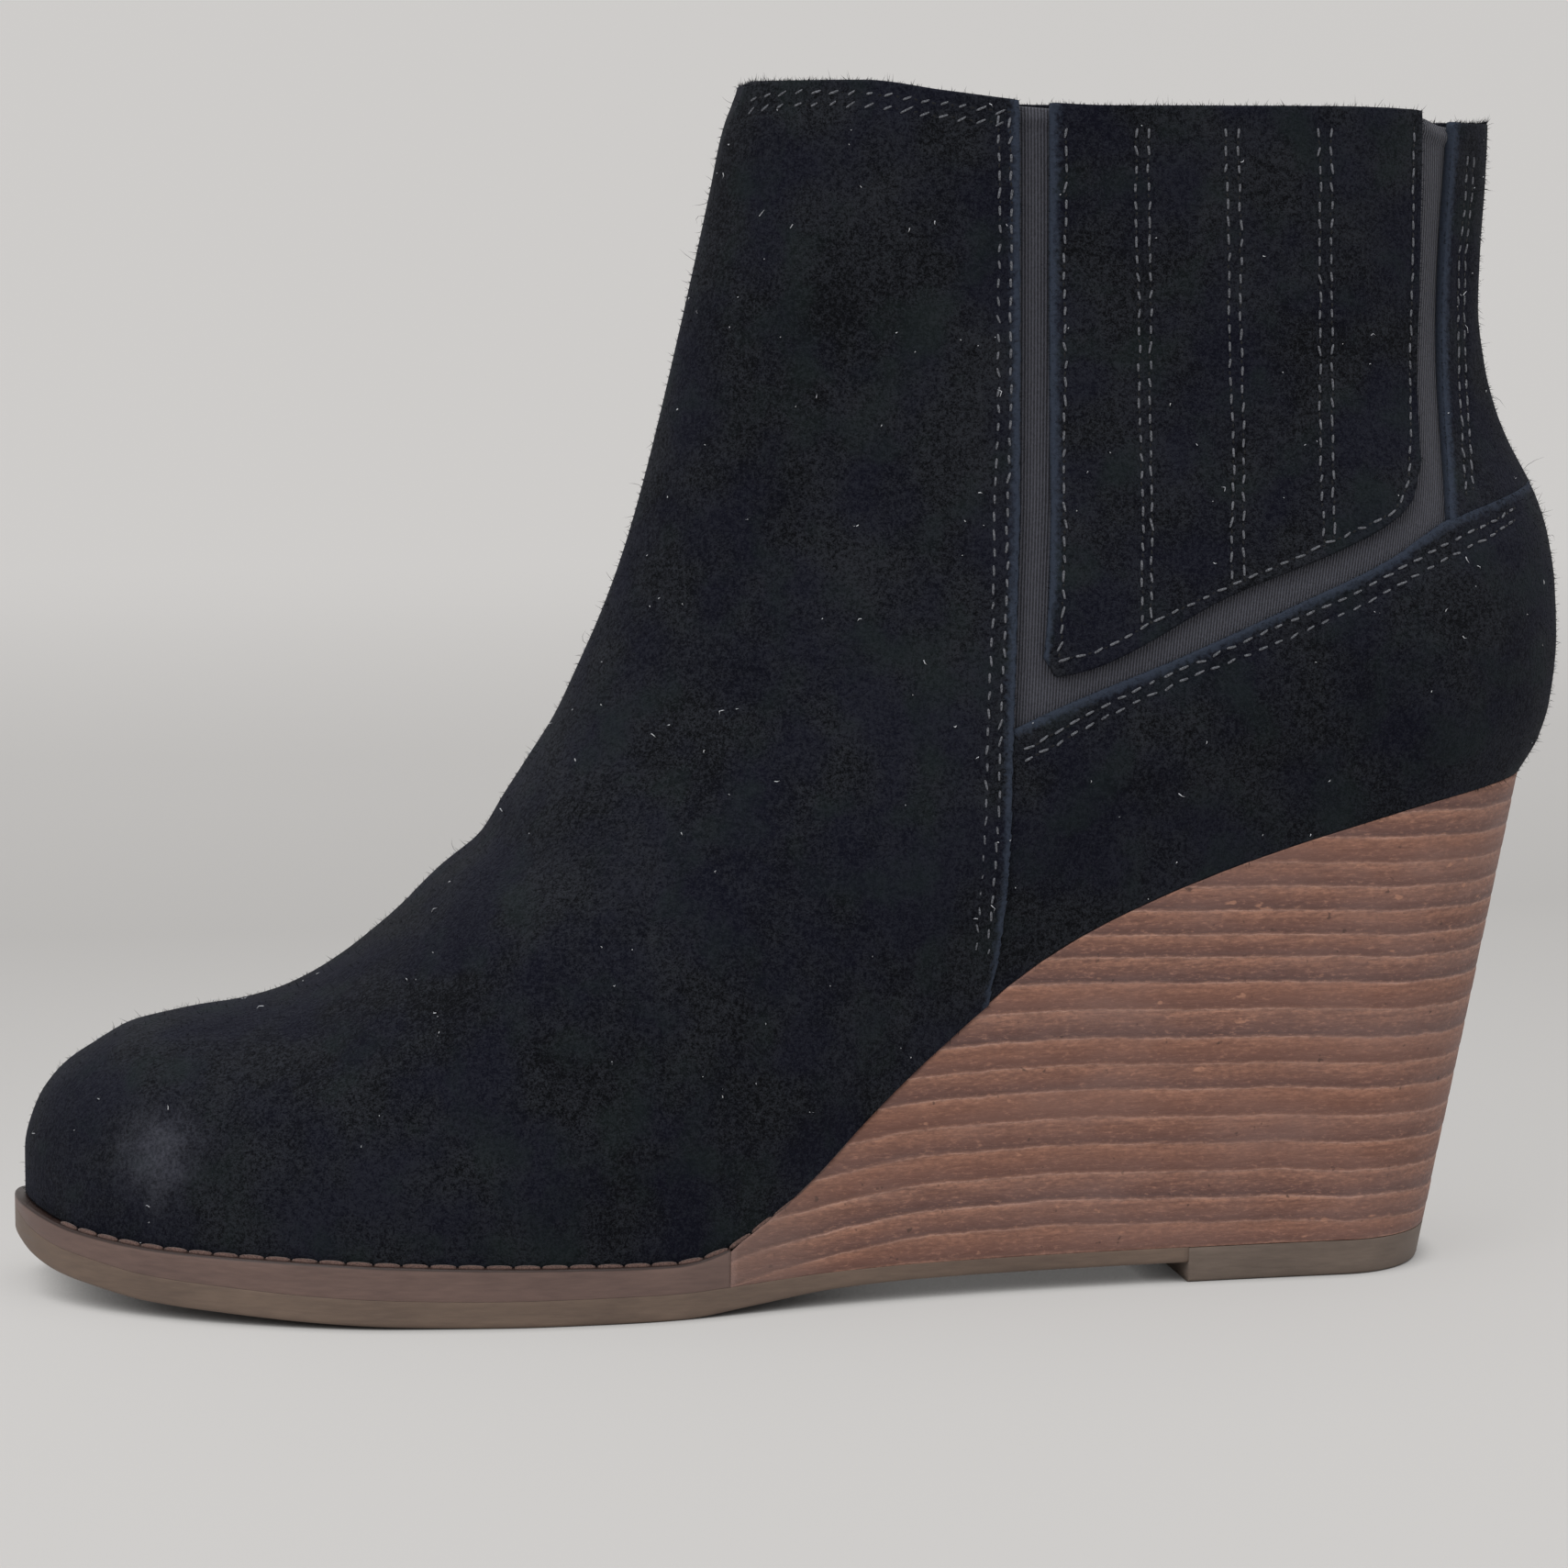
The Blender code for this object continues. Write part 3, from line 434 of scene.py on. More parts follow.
# Stacked wedge: height of each joint over the floor at JOINT_X, in mm
JOINT_X = -45.0 * MM
JOINTS = (6.6, 10.5, 14.5, 18.9, 23.5, 27.9, 32.4, 36.5, 40.7, 45.4, 49.7, 53.9, 57.5, 61.4, 65.3,
          69.2, 73.3, 77.4, 81.5)
JOINT_FALL = 0.029  # slope of the joints towards the heel
JOINT_DIP = (
    # x, dip: how far a joint lies below its own height under the arch, in mm
    (-104, 6.9), (-101, 6), (-96, 4.9), (-86, 2.8), (-81, 2), (-71, .8), (-58, 0), (45, 0),
)
JOINT_GROOVE = 0.07 * MM
GROOVE_SHARE = 0.14  # share of a layer over which the groove fades
LAYER_OUT = 0.05 * MM  # how far one layer may stand out past the next
SHORTEST_LAYER = 8 * MM

# Soft folds and fullness of the suede, in side view: from x, z to x, z, width and height, in mm
CREASES = (
    # x0, z0, x1, z1, wide, high
    (-147, 71, -128, 56, 6.5, .75), (-144, 74, -124, 69, 4.5, -.7), (-124, 92, -108, 84, 6, -.35),
    (-139, 17, -106, 30, 5.5, .5), (-146, 27, -112, 39, 7, -.6), (-158, 46, -128, 46, 9, -.35),
    (-94, 25, -83, 38, 6, .45), (-106, 82, -97, 99, 8, .4), (-112, 60, -92, 66, 9, -.4),
    (-66, 62, -61, 160, 6, .35), (-74, 120, -72, 165, 9, -.3), (-30, 86, 20, 108, 9, .3),
    (-40, 74, 0, 88, 7, -.3),
)

STITCH_ROWS = (
    # panel outline, three double rows on the panel, counter and back stay: along, up
    ((.649, .966), (.6494, .843), (.6485, .693), (.6445, .582), (.6414, .530), (.6613, .535), (.6964, .556),
     (.7539, .590), (.7998, .614), (.8356, .632), (.8615, .6495), (.8712, .674), (.8780, .752), (.880, .879),
     (.8796, .962)),
    ((.694, .966), (.696, .843), (.697, .693), (.695, .556)),
    ((.702, .966), (.704, .843), (.703, .700), (.701, .560)),
    ((.752, .966), (.754, .842), (.7565, .692), (.754, .590)),
    ((.760, .966), (.762, .842), (.7635, .700), (.762, .594)),
    ((.812, .966), (.815, .842), (.814, .691), (.814, .624)),
    ((.820, .966), (.823, .842), (.822, .700), (.820, .627)),
    ((.616, .456), (.698, .509), (.761, .543), (.824, .577), (.881, .612), (.9525, .646)),
    ((.616, .447), (.7206, .512), (.763, .532), (.8215, .563), (.883, .601), (.951, .636)),
    ((.925, .942), (.922, .895), (.918, .844), (.918, .797), (.916, .728), (.914, .6815), (.9135, .660)),
    ((.931, .940), (.928, .895), (.924, .844), (.924, .797), (.922, .728), (.920, .6815), (.9195, .664)),
)
VAMP_ROWS = (
    # along, up
    ((.6150, .974), (.6150, .840), (.6135, .694), (.604, .489), (.599, .385), (.595, .285)),
    ((.6080, .976), (.6075, .840), (.6055, .694), (.596, .489), (.591, .385), (.587, .290)),
)


def surface(x, z, side):
    """Point of the boot's outer form at a place in the side view. side: 1 lateral, 2 medial."""
    x, z = np.broadcast_arrays(np.asarray(x, float), np.asarray(z, float))
    middle = centre_y(x, z)
    half = half_width(x, z, side)
    return np.stack([x, middle - half if side == 1 else middle + half, z], -1)


def normals(grid):
    """Outward normal at each point of a grid on the boot."""
    out = np.cross(np.gradient(grid, axis=0), np.gradient(grid, axis=1))
    out /= np.linalg.norm(out, axis=-1, keepdims=True) + 1e-12
    flat = grid.reshape(-1, 3)
    axis = np.array([flat[:, 0].mean(), 0.0, flat[:, 2].mean()])
    return out if np.sum(out * (grid - axis)) > 0 else -out


def line(table, samples=17):
    """A seam as x for a height."""
    run = seam_curve(table, samples)
    order = np.argsort(run[:, 1])
    return lambda z: np.interp(z, run[order, 1], run[order, 0])


def top_line(table, samples=25):
    """A seam as a height for x."""
    run = seam_curve(table, samples)
    order = np.argsort(run[:, 0])
    return lambda x: np.interp(x, run[order, 0], run[order, 1])


vamp_x = line(VAMP_EDGE)
stay_x = line(BACK_STAY_EDGE)
counter_z = top_line(COUNTER_EDGE)


def patch(left, right, bottom, top, columns, rows, wrap=False):
    """Places in the side view between four seams. With wrap, columns close up towards the right."""
    u = np.linspace(0, 1, columns)[None, :]
    across = np.sin(np.pi * u / 2) if wrap else u
    up = np.linspace(0, 1, rows)[:, None]
    z = np.full((rows, columns), 0.6 * COLLAR_TOP)
    for _ in range(40):
        x = left(z) + (right(z) - left(z)) * across
        z = bottom(x) + (top(x) - bottom(x)) * up
    return x, z


def both_sides(x, z):
    """Grid from the lateral side over the edge of the side view to the medial side."""
    return np.concatenate([surface(x, z, 1), surface(x, z, 2)[:, -2::-1]], axis=1)


def from_segment(x, z, x0, z0, x1, z1):
    """Distance of side-view places from a straight line between two others."""
    run = np.array([x1 - x0, z1 - z0])
    share = np.clip(((x - x0) * run[0] + (z - z0) * run[1]) / (run @ run), 0, 1)
    return np.hypot(x - x0 - share * run[0], z - z0 - share * run[1])


def creases(x, z):
    """Height of the soft folds over the form."""
    high = np.zeros(np.shape(x))
    for x0, z0, x1, z1, wide, deep in np.array(CREASES) * MM:
        high += deep * np.exp(-((from_segment(x, z, x0, z0, x1, z1) / wide) ** 2))
    return high


def troughs(x, z, rows):
    """Depth to which rows of stitches draw the suede in."""
    nearest = np.full(np.shape(x), 1.0)
    for row in rows:
        places = np.array(row) * [LENGTH, COLLAR_TOP] + [TOE_X, 0]
        for (x0, z0), (x1, z1) in zip(places[:-1], places[1:]):
            nearest = np.minimum(nearest, from_segment(x, z, x0, z0, x1, z1))
    return -TROUGH_DEEP * np.exp(-((nearest / TROUGH_WIDE) ** 2))


def mirrored(values):
    """Values of one side's grid carried on to the other side, as both_sides() does with places."""
    return np.concatenate([values, values[:, -2::-1]], axis=1)


def ring_place(place, t):
    """Side view of one ring of the upper, back to front, for t from 0 to 1."""
    fx, fz = at_run(place * FRONT_RUN[-1], FRONT_RUN, np.c_[FRONT_X, FRONT_Z])
    bz = HEEL_HEIGHT + place * SHAFT_RISE
    bx = back_x(bz)
    foot_x = SEAT_BACK_X + (TOE_X - SEAT_BACK_X) * t
    sag = bed_z(foot_x) - (HEEL_HEIGHT + (FRONT_Z[0] - HEEL_HEIGHT) * t)
    x = bx + (fx - bx) * t
    z = bz + (fz - bz) * t + (1 - place) ** 1.5 * sag
    return x, z - place ** 10 * (COLLAR_TOP - collar_line(x))


def vamp_places(rows, columns):
    """Places in the side view on the vamp's rings, from its edge to the front line."""
    fine = np.linspace(0, 1, 600)
    xs, zs = [], []
    for place in np.linspace(0, 1, rows):
        x, z = ring_place(place, fine)
        start = fine[np.argmax(x < vamp_x(z))]
        t = start + (1 - start) * np.sin(np.pi * np.linspace(0, 1, columns) / 2)
        x, z = ring_place(place, t)
        xs.append(x)
        zs.append(z + GAP * np.clip(1 - place / 0.03, 0, 1))
    return np.array(xs), np.array(zs)


def quads(first, rows, columns, closed=False):
    """Faces between rows of points that are numbered on from first."""
    i, j = np.mgrid[: rows - 1, : columns if closed else columns - 1]
    a, b = first + i * columns + j, first + i * columns + (j + 1) % columns
    return np.stack([a, b, b + columns, a + columns], -1).reshape(-1, 4).tolist()


def piece(name, points, faces, material, slot, replaced=(), **values):
    """A mesh that rides on the boot. values are numbers kept at its points for its material."""
    mesh = bpy.data.meshes.new(name)
    mesh.from_pydata(np.asarray(points).tolist(), [], faces)
    work = bmesh.new()
    work.from_mesh(mesh)
    bmesh.ops.recalc_face_normals(work, faces=work.faces)
    work.to_mesh(mesh)
    work.free()
    for key, numbers in values.items():
        kept = mesh.attributes.new(key, "FLOAT", "POINT")
        kept.data.foreach_set("value", np.asarray(numbers, np.float32))
    mesh.shade_smooth()
    thing = show(name, mesh)
    mesh.materials.append(material)
    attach(thing, "root")
    if replaced:
        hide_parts(*replaced)
    return thing


def runs(grid):
    """Distance of each point of a grid from its four sides: bottom, top, left and right."""
    step = np.linalg.norm(np.diff(grid, axis=1), axis=-1)
    along = np.concatenate([np.zeros((len(grid), 1)), np.cumsum(step, axis=1)], axis=1)
    step = np.linalg.norm(np.diff(grid, axis=0), axis=-1)
    up = np.concatenate([np.zeros((1, grid.shape[1])), np.cumsum(step, axis=0)], axis=0)
    return up, up[-1:] - up, along, along[:, -1:] - along


def leather(name, grid, thickness, material, slot, raised, raw=SIDES, replaced=(), hairy=0.0, **values):
    """A sheet with a wall and rounded edges, over a grid on the boot. raised is how far its outer
    face stands over the grid. raw names the sides whose cut edge shows, and hairy is the share of
    its places that carry a short hair."""
    rows, columns = grid.shape[:2]
    out = normals(grid)
    outer = grid + out * np.reshape(raised, np.shape(raised) + (1,) * (3 - np.ndim(raised)))
    inner = grid + out * (np.min(raised) - thickness)
    loop = [(0, j) for j in range(columns)] + [(i, columns - 1) for i in range(1, rows)]
    loop += [(rows - 1, j) for j in range(columns - 2, -1, -1)] + [(i, 0) for i in range(rows - 2, 0, -1)]
    away = []
    for i, j in loop:
        back = [(1, j)] * (i == 0) + [(rows - 2, j)] * (i == rows - 1)
        back += [(i, 1)] * (j == 0) + [(i, columns - 2)] * (j == columns - 1)
        parts = [outer[i, j] - outer[b] for b in back]
        way = sum(p / (np.linalg.norm(p) + 1e-12) for p in parts)
        way -= out[i, j] * np.dot(way, out[i, j])
        away.append(way / (np.linalg.norm(way) + 1e-12))
    away, picks = np.array(away), tuple(np.array(loop).T)
    base, up = outer[picks], out[picks]
    rims = []
    for turn in (30, 60, 90):
        a = np.radians(turn)
        rims.append(base + LEATHER_ROUND * (away * np.sin(a) - up * (1 - np.cos(a))))
    rims.append(inner[picks] + away * LEATHER_ROUND)
    points = np.concatenate([outer.reshape(-1, 3), inner.reshape(-1, 3), *rims])
    size, around_count = rows * columns, len(loop)
    faces = quads(0, rows, columns) + quads(size, rows, columns)
    flat = picks[0] * columns + picks[1]
    around = np.arange(around_count) + 2 * size
    bands = [flat] + [around + k * around_count for k in range(4)] + [flat + size]
    for a, b in zip(bands[:-1], bands[1:]):
        faces += np.stack([a, np.roll(a, -1), np.roll(b, -1), b], -1).tolist()
    if hairy:
        flat_outer, flat_out = outer.reshape(-1, 3), out.reshape(-1, 3)
        every = RANDOM.choice(rows * columns, int(hairy * rows * columns))
        grow("short", flat_outer[every], flat_out[every], FUZZ_LONG, 0.6)
        some = RANDOM.choice(rows * columns, len(every) // FIBRE_RARE)
        grow("long", flat_outer[some], flat_out[some], FIBRE_LONG, 0.8)
        few = RANDOM.choice(rows * columns, len(every) // LINT_RARE)
        across = np.cross(flat_out[few], RANDOM.normal(0, 1, (len(few), 3)))
        across /= np.linalg.norm(across, axis=1, keepdims=True)
        grow("lint", flat_outer[few] + flat_out[few] * LINT_OVER, across, LINT_LONG, 0.1, 0.7)
        pick = RANDOM.choice(len(base), len(base) * 2)
        jog = RANDOM.uniform(0, 1, (len(pick), 1)) * (np.roll(base, -1, axis=0) - base)[pick]
        grow("short", rims[1][pick] + jog, (away + up * 0.5)[pick], EDGE_FUZZ_LONG, 0.45)
    values["border"] = np.min([runs(outer)[side] for side in raw], axis=0) / MM
    values = {k: np.concatenate([v.ravel(), v.ravel(), *[v[picks]] * 4]) for k, v in values.items()}
    return piece(name, points, faces, material, slot, replaced, **values)


def srgb(*levels):
    """Linear colour from screen levels of 0 to 255."""
    c = np.array(levels) / 255
    return (*np.where(c <= 0.04045, c / 12.92, ((c + 0.055) / 1.055) ** 2.4).tolist(), 1.0)


def show(name, data):
    """A new object in the scene."""
    thing = bpy.data.objects.new(name, data)
    bpy.context.scene.collection.objects.link(thing)
    return thing


class Look:
    """A Principled material, with short calls that add nodes to it."""

    def __init__(self, name, **sockets):
        self.material = bpy.data.materials.new(name)
        self.material.use_nodes = True
        self.tree = self.material.node_tree
        self.shader = self.tree.nodes["Principled BSDF"]
        self.place = self.tree.nodes.new("ShaderNodeTexCoord").outputs["Object"]
        for key, value in sockets.items():
            self.set(key.replace("_", " "), value)

    def set(self, key, value):
        socket = self.shader.inputs[key]
        if isinstance(value, bpy.types.NodeSocket):
            self.tree.links.new(value, socket)
        else:
            socket.default_value = value

    def node(self, kind, inputs, **settings):
        made = self.tree.nodes.new("ShaderNode" + kind)
        for key, value in settings.items():
            setattr(made, key, value)
        for key, value in inputs.items():
            if isinstance(value, bpy.types.NodeSocket):
                self.tree.links.new(value, made.inputs[key])
            else:
                made.inputs[key].default_value = value
        return made

    def math(self, operation, a, b=0.0):
        return self.node("Math", {0: a, 1: b}, operation=operation).outputs[0]

    def add(self, first, *others):
        for other in others:
            first = self.math("ADD", first, other)
        return first

    def stretched(self, x, y, z):
        return self.node("VectorMath", {0: self.place, 1: (x, y, z)}, operation="MULTIPLY").outputs[0]

    def noise(self, size, detail=3.0, place=None, rough=0.5):
        """Noise whose features are about that size, in metres."""
        inputs = {"Vector": place or self.place, "Scale": 1 / size, "Detail": detail, "Roughness": rough}
        return self.node("TexNoise", inputs).outputs["Fac"]

    def value(self, name):
        return self.node("Attribute", {}, attribute_name=name).outputs["Fac"]

    def span(self, value, low, high, to_low=0.0, to_high=1.0):
        inputs = {"Value": value, "From Min": low, "From Max": high, "To Min": to_low, "To Max": to_high}
        return self.node("MapRange", inputs).outputs["Result"]

    def spread(self, value, to_low, to_high):
        """A noise's usual range, taken to another."""
        return self.span(value, 0.3, 0.7, to_low, to_high)

    def stained(self, colour, *stains):
        """A colour under stains of (value, from, to, share at from, share at to, screen levels)."""
        for value, low, high, to_low, to_high, levels in stains:
            colour = self.mix(self.span(value, low, high, to_low, to_high), colour, srgb(*levels))
        return colour

    def mix(self, share, a, b):
        return self.node("Mix", {0: share, 6: a, 7: b}, data_type="RGBA").outputs[2]

    def ramp(self, value, *stops):
        """Colours along a value. stops: place, then three screen levels."""
        made = self.node("ValToRGB", {"Fac": value})
        band = made.color_ramp.elements
        while len(band) < len(stops):
            band.new(0.5)
        for mark, (at, *levels) in zip(band, stops):
            mark.position, mark.color = at, srgb(*levels)
        return made.outputs["Color"]

    def near(self, x, y, z):
        """Distance from a place, in metres."""
        return self.node("VectorMath", {0: self.place, 1: (x, y, z)}, operation="DISTANCE").outputs["Value"]

    def bump(self, *layers):
        """Bumps of (height, depth in metres), one over another."""
        last = None
        for height, depth in layers:
            inputs = {"Height": height, "Distance": depth, "Strength": 1.0}
            if last:
                inputs["Normal"] = last
            last = self.node("Bump", inputs).outputs["Normal"]
        self.set("Normal", last)


def suede_look():
    """Dark nap in tufts and patches, bluish at a cut edge and worn pale at the toe."""
    look = Look("black_suede", Roughness=0.95, Specular_IOR_Level=0.08)
    look.set("Sheen Weight", 0.07)
    look.set("Sheen Roughness", 0.5)
    nap, patches = look.noise(0.55 * MM, 4, rough=0.6), look.noise(8 * MM, 5, rough=0.65)
    wide, fine = look.noise(36 * MM, 3), look.noise(0.22 * MM, 2)
    tufts = look.noise(1.3 * MM, 4, rough=0.7)
    share = look.add(
        look.span(patches, 0.35, 0.65, 0.0, 0.3),
        look.span(nap, 0.38, 0.62, -0.15, 0.6),
        look.span(wide, 0.35, 0.65, -0.15, 0.15),
        look.span(fine, 0.38, 0.62, -0.32, 0.32),
        look.span(tufts, 0.38, 0.66, -0.1, 0.3),
    )
    colour = look.mix(share, srgb(7, 8, 11), srgb(38, 40, 45))
    fray = look.noise(0.7 * MM, 4)
    edge = look.add(look.value("border"), look.spread(fray, -0.6, 0.6))
    colour = look.stained(
        colour,
        (look.noise(14 * MM, 3), 0.4, 0.6, 0.0, 0.4, (16, 17, 34)),
        (look.noise(9 * MM, 3), 0.52, 0.7, 0.0, 0.5, (26, 34, 34)),
        (edge, 0.2, 1.5, 0.8, 0.0, (52, 59, 72)),
    )
    worn = look.add(look.near(*SCUFF), look.spread(look.noise(3 * MM, 4), -2 * MM, 2 * MM))
    worn = look.math("POWER", look.span(worn, 1 * MM, SCUFF_WIDE, 1, 0), 2.0)
    worn = look.math("MULTIPLY", worn, look.spread(nap, 0.35, 1.0))
    colour = look.mix(worn, colour, srgb(74, 75, 84))
    look.set("Base Color", colour)
    look.set("Sheen Tint", srgb(150, 154, 170))
    look.bump((patches, 0.2 * MM), (tufts, 0.22 * MM), (nap, 0.22 * MM), (fine, 0.08 * MM))
    return look.material


def elastic_look():
    """Upright ribs with a fine weave. The colour is painted darker in the grooves between ribs and lighter
    on their crests, as shade and light.
    """
    look = Look("ribbed_elastic", Roughness=0.8, Sheen_Weight=0.12, Specular_IOR_Level=0.3)
    turn = look.math("MULTIPLY", look.value("across"), 2 * np.pi / (RIB_PITCH / MM))
    rib = look.math("SINE", turn)
    weave = look.noise(0.35 * MM, 3)
    ribs = look.add(look.span(rib, -1, 1), look.spread(weave, -0.25, 0.25))
    # painted shade and light: dark in the rib grooves, light on the crests; the weave's noise is the
    # elastic's own tone
    look.set("Base Color", look.mix(ribs, srgb(34, 34, 40), srgb(76, 77, 86)))
    look.bump((look.noise(1.2 * MM, 3), 0.06 * MM), (ribs, 0.14 * MM))
    return look.material


def thread_look(name, light, dark, gloss=0.3):
    """Fine strands between two tones."""
    look = Look(name, Roughness=0.75, Sheen_Weight=gloss / 2, Specular_IOR_Level=gloss)
    strand = look.noise(0.22 * MM, 3)
    look.set("Base Color", look.mix(look.span(strand, 0.35, 0.65), dark, light))
    look.bump((strand, 0.08 * MM))
    return look.material


def wedge_look():
    """Stained layers, each with its own tint, streaks along it and a pale line at its joint."""
    look = Look("stacked_layers", Specular_IOR_Level=0.45)
    wave = look.spread(look.noise(14 * MM, 2, look.stretched(1, 1, 0.2)), -0.06, 0.06)
    ragged = look.noise(1.1 * MM, 3, look.stretched(0.6, 0.6, 0.4), rough=0.6)
    wave = look.add(wave, look.spread(ragged, -0.03, 0.03))
    level = look.add(look.value("layer"), wave, 10.0)
    level_in, number = look.math("FRACT", level), look.math("FLOOR", level)
    tint = look.node("TexWhiteNoise", {"W": number}, noise_dimensions="1D").outputs["Value"]
    streak = look.noise(0.8 * MM, 4, look.stretched(0.08, 0.08, 1.0), rough=0.65)
    fibre = look.noise(0.45 * MM, 4, look.stretched(0.35, 0.35, 1.0), rough=0.7)
    cloud = look.noise(12 * MM, 4, look.stretched(0.5, 0.5, 1.0), rough=0.6)
    body = look.ramp(
        level_in,
        (0.0, 176, 138, 122),
        (0.05, 128, 94, 82),
        (0.12, 92, 68, 64),
        (0.32, 108, 76, 68),
        (0.62, 134, 94, 78),
        (0.88, 154, 110, 90),
        (0.96, 166, 124, 104),
        (1.0, 184, 146, 130),
    )
    flecks = look.noise(1.6 * MM, 2)
    chips = look.noise(2.4 * MM, 3, look.stretched(0.6, 0.6, 1.2))
    along = look.node("SeparateXYZ", {0: look.place}).outputs["X"]
    body = look.stained(
        body,
        (streak, 0.38, 0.68, 0.0, 0.6, (88, 60, 54)),
        (fibre, 0.45, 0.62, 0.0, 0.5, (84, 56, 50)),
        (fibre, 0.44, 0.32, 0.0, 0.45, (178, 130, 108)),
        (cloud, 0.42, 0.75, 0.0, 0.55, (126, 100, 94)),
        (tint, 0.0, 1.0, 0.0, 0.3, (136, 88, 66)),
        (flecks, 0.70, 0.76, 0.0, 0.7, (60, 40, 34)),
        (chips, 0.70, 0.74, 0.0, 0.6, (176, 128, 104)),
        (along, -101 * MM, -80 * MM, 0.75, 0.0, (112, 88, 80)),
    )
    look.set("Base Color", body)
    look.set("Roughness", look.spread(streak, 0.5, 0.68))
    look.bump((cloud, 0.12 * MM), (streak, 0.10 * MM), (fibre, 0.12 * MM))
    return look.material


def sole_look(name, light, dark, roughness, streaks=0.15, top=None):
    """A clouded, streaked surface between two tones. top is the tone of a ledge."""
    look = Look(name, Specular_IOR_Level=0.4)
    cloud = look.noise(7 * MM, 5, look.stretched(0.4, 0.4, 1.0), rough=0.6)
    grain = look.noise(0.6 * MM, 4, look.stretched(streaks, streaks, 1.0))
    share = look.add(look.spread(cloud, 0.0, 0.6), look.spread(grain, 0.0, 0.4))
    colour = look.mix(share, dark, light)
    if top:
        colour = look.mix(look.math("MULTIPLY", look.value("ledge"), 0.9), colour, top)
    look.set("Base Color", colour)
    look.set("Roughness", look.spread(grain, roughness - 0.06, roughness + 0.08))
    look.bump((cloud, 0.08 * MM), (grain, 0.05 * MM))
    return look.material


def stitch_shape(turns, lengths):
    """One stitch along +X, as (x, y, z) shares of its length, width and height, and its faces."""
    points = []
    for i in range(lengths):
        a = np.pi * (i + 0.5) / lengths
        for j in range(turns):
            b = 2 * np.pi * j / turns
            twist = 1 + 0.10 * np.sin(2 * b + 2.5 * a)
            thick = np.sin(a) ** 0.55 / 2
            points.append((-np.cos(a) / 2, thick * np.cos(b) * twist, thick * np.sin(b)))
    faces = quads(0, lengths, turns, closed=True)
    faces += [tuple(range(turns)), tuple(range((lengths - 1) * turns, lengths * turns))]
    return np.array(points), faces


def stitch(shape, place, axes, sizes):
    """Points of one stitch, with its length, width and height along three axes."""
    for share, axis, size in zip(shape.T, axes, sizes):
        place = place + np.outer(share * size, axis)
    return place


def stitch_piece(name, stitches, faces, material):
    """Stitches of one shape as one mesh."""
    firsts = range(0, len(stitches) * len(stitches[0]), len(stitches[0]))
    all_faces = [tuple(first + k for k in face) for first in firsts for face in faces]
    return piece(name, np.concatenate(stitches), all_faces, material, "thread")


def grow(kind, roots, ways, length, lean, spread=0.5):
    """Remembers hairs of a kind on the suede: roots, and ways that they lean out from."""
    way = ways + RANDOM.normal(0, lean, roots.shape)
    way /= np.linalg.norm(way, axis=1, keepdims=True)
    long = length * np.clip(RANDOM.lognormal(-0.4, spread, len(roots)), 0.3, 3.0)
    HAIRS.setdefault(kind, []).append((roots, way * long[:, None]))


def fuzz_piece(name, hairs, thick, material, bends):
    """Hairs as one mesh of closed three-sided spikes, bent that many times."""
    roots, ways = (np.concatenate([h[k] for h in hairs]) for k in (0, 1))
    long = np.linalg.norm(ways, axis=1, keepdims=True)
    side = np.cross(ways, RANDOM.normal(0, 1, ways.shape))
    side /= np.linalg.norm(side, axis=1, keepdims=True)
    other = np.cross(ways / long, side)
    curl = side * long * RANDOM.normal(0, 0.3, (len(ways), 1))
    rings = []
    for share in np.arange(bends + 1) / (bends + 1):
        middle = roots + ways * (share - 0.08) + curl * np.sin(np.pi * share)
        for turn in np.radians((0, 120, 240)):
            out = side * np.cos(turn) + other * np.sin(turn)
            rings.append(middle + out * thick / 2 * (1 - 0.5 * share))
    rings.append(roots + ways)
    shape = [(2, 1, 0)]
    band = np.array([(0, 1, 4), (0, 4, 3), (1, 2, 5), (1, 5, 4), (2, 0, 3), (2, 3, 5)])
    for first in range(0, 3 * bends, 3):
        shape += (band + first).tolist()
    last = 3 * bends
    shape += [(last, last + 1, last + 3), (last + 1, last + 2, last + 3), (last + 2, last, last + 3)]
    faces = (np.arange(len(roots))[:, None, None] * len(rings) + np.array(shape)).reshape(-1, 3).tolist()
    return piece(name, np.stack(rings, axis=1).reshape(-1, 3), faces, material, "suede")


def on_surface(x, z, side, raised=0.0):
    """Points over the form at places in the side view, and the form's normals there."""
    step = 0.2 * MM
    p = surface(x, z, side)
    dx = surface(x + step, z, side) - surface(x - step, z, side)
    dz = surface(x, z + step, side) - surface(x, z - step, side)
    n = np.cross(dx, dz)
    n /= np.linalg.norm(n, axis=-1, keepdims=True)
    n = np.where(n[:, 1:2] * (1 if side == 2 else -1) > 0, n, -n)
    return p + n * raised, n


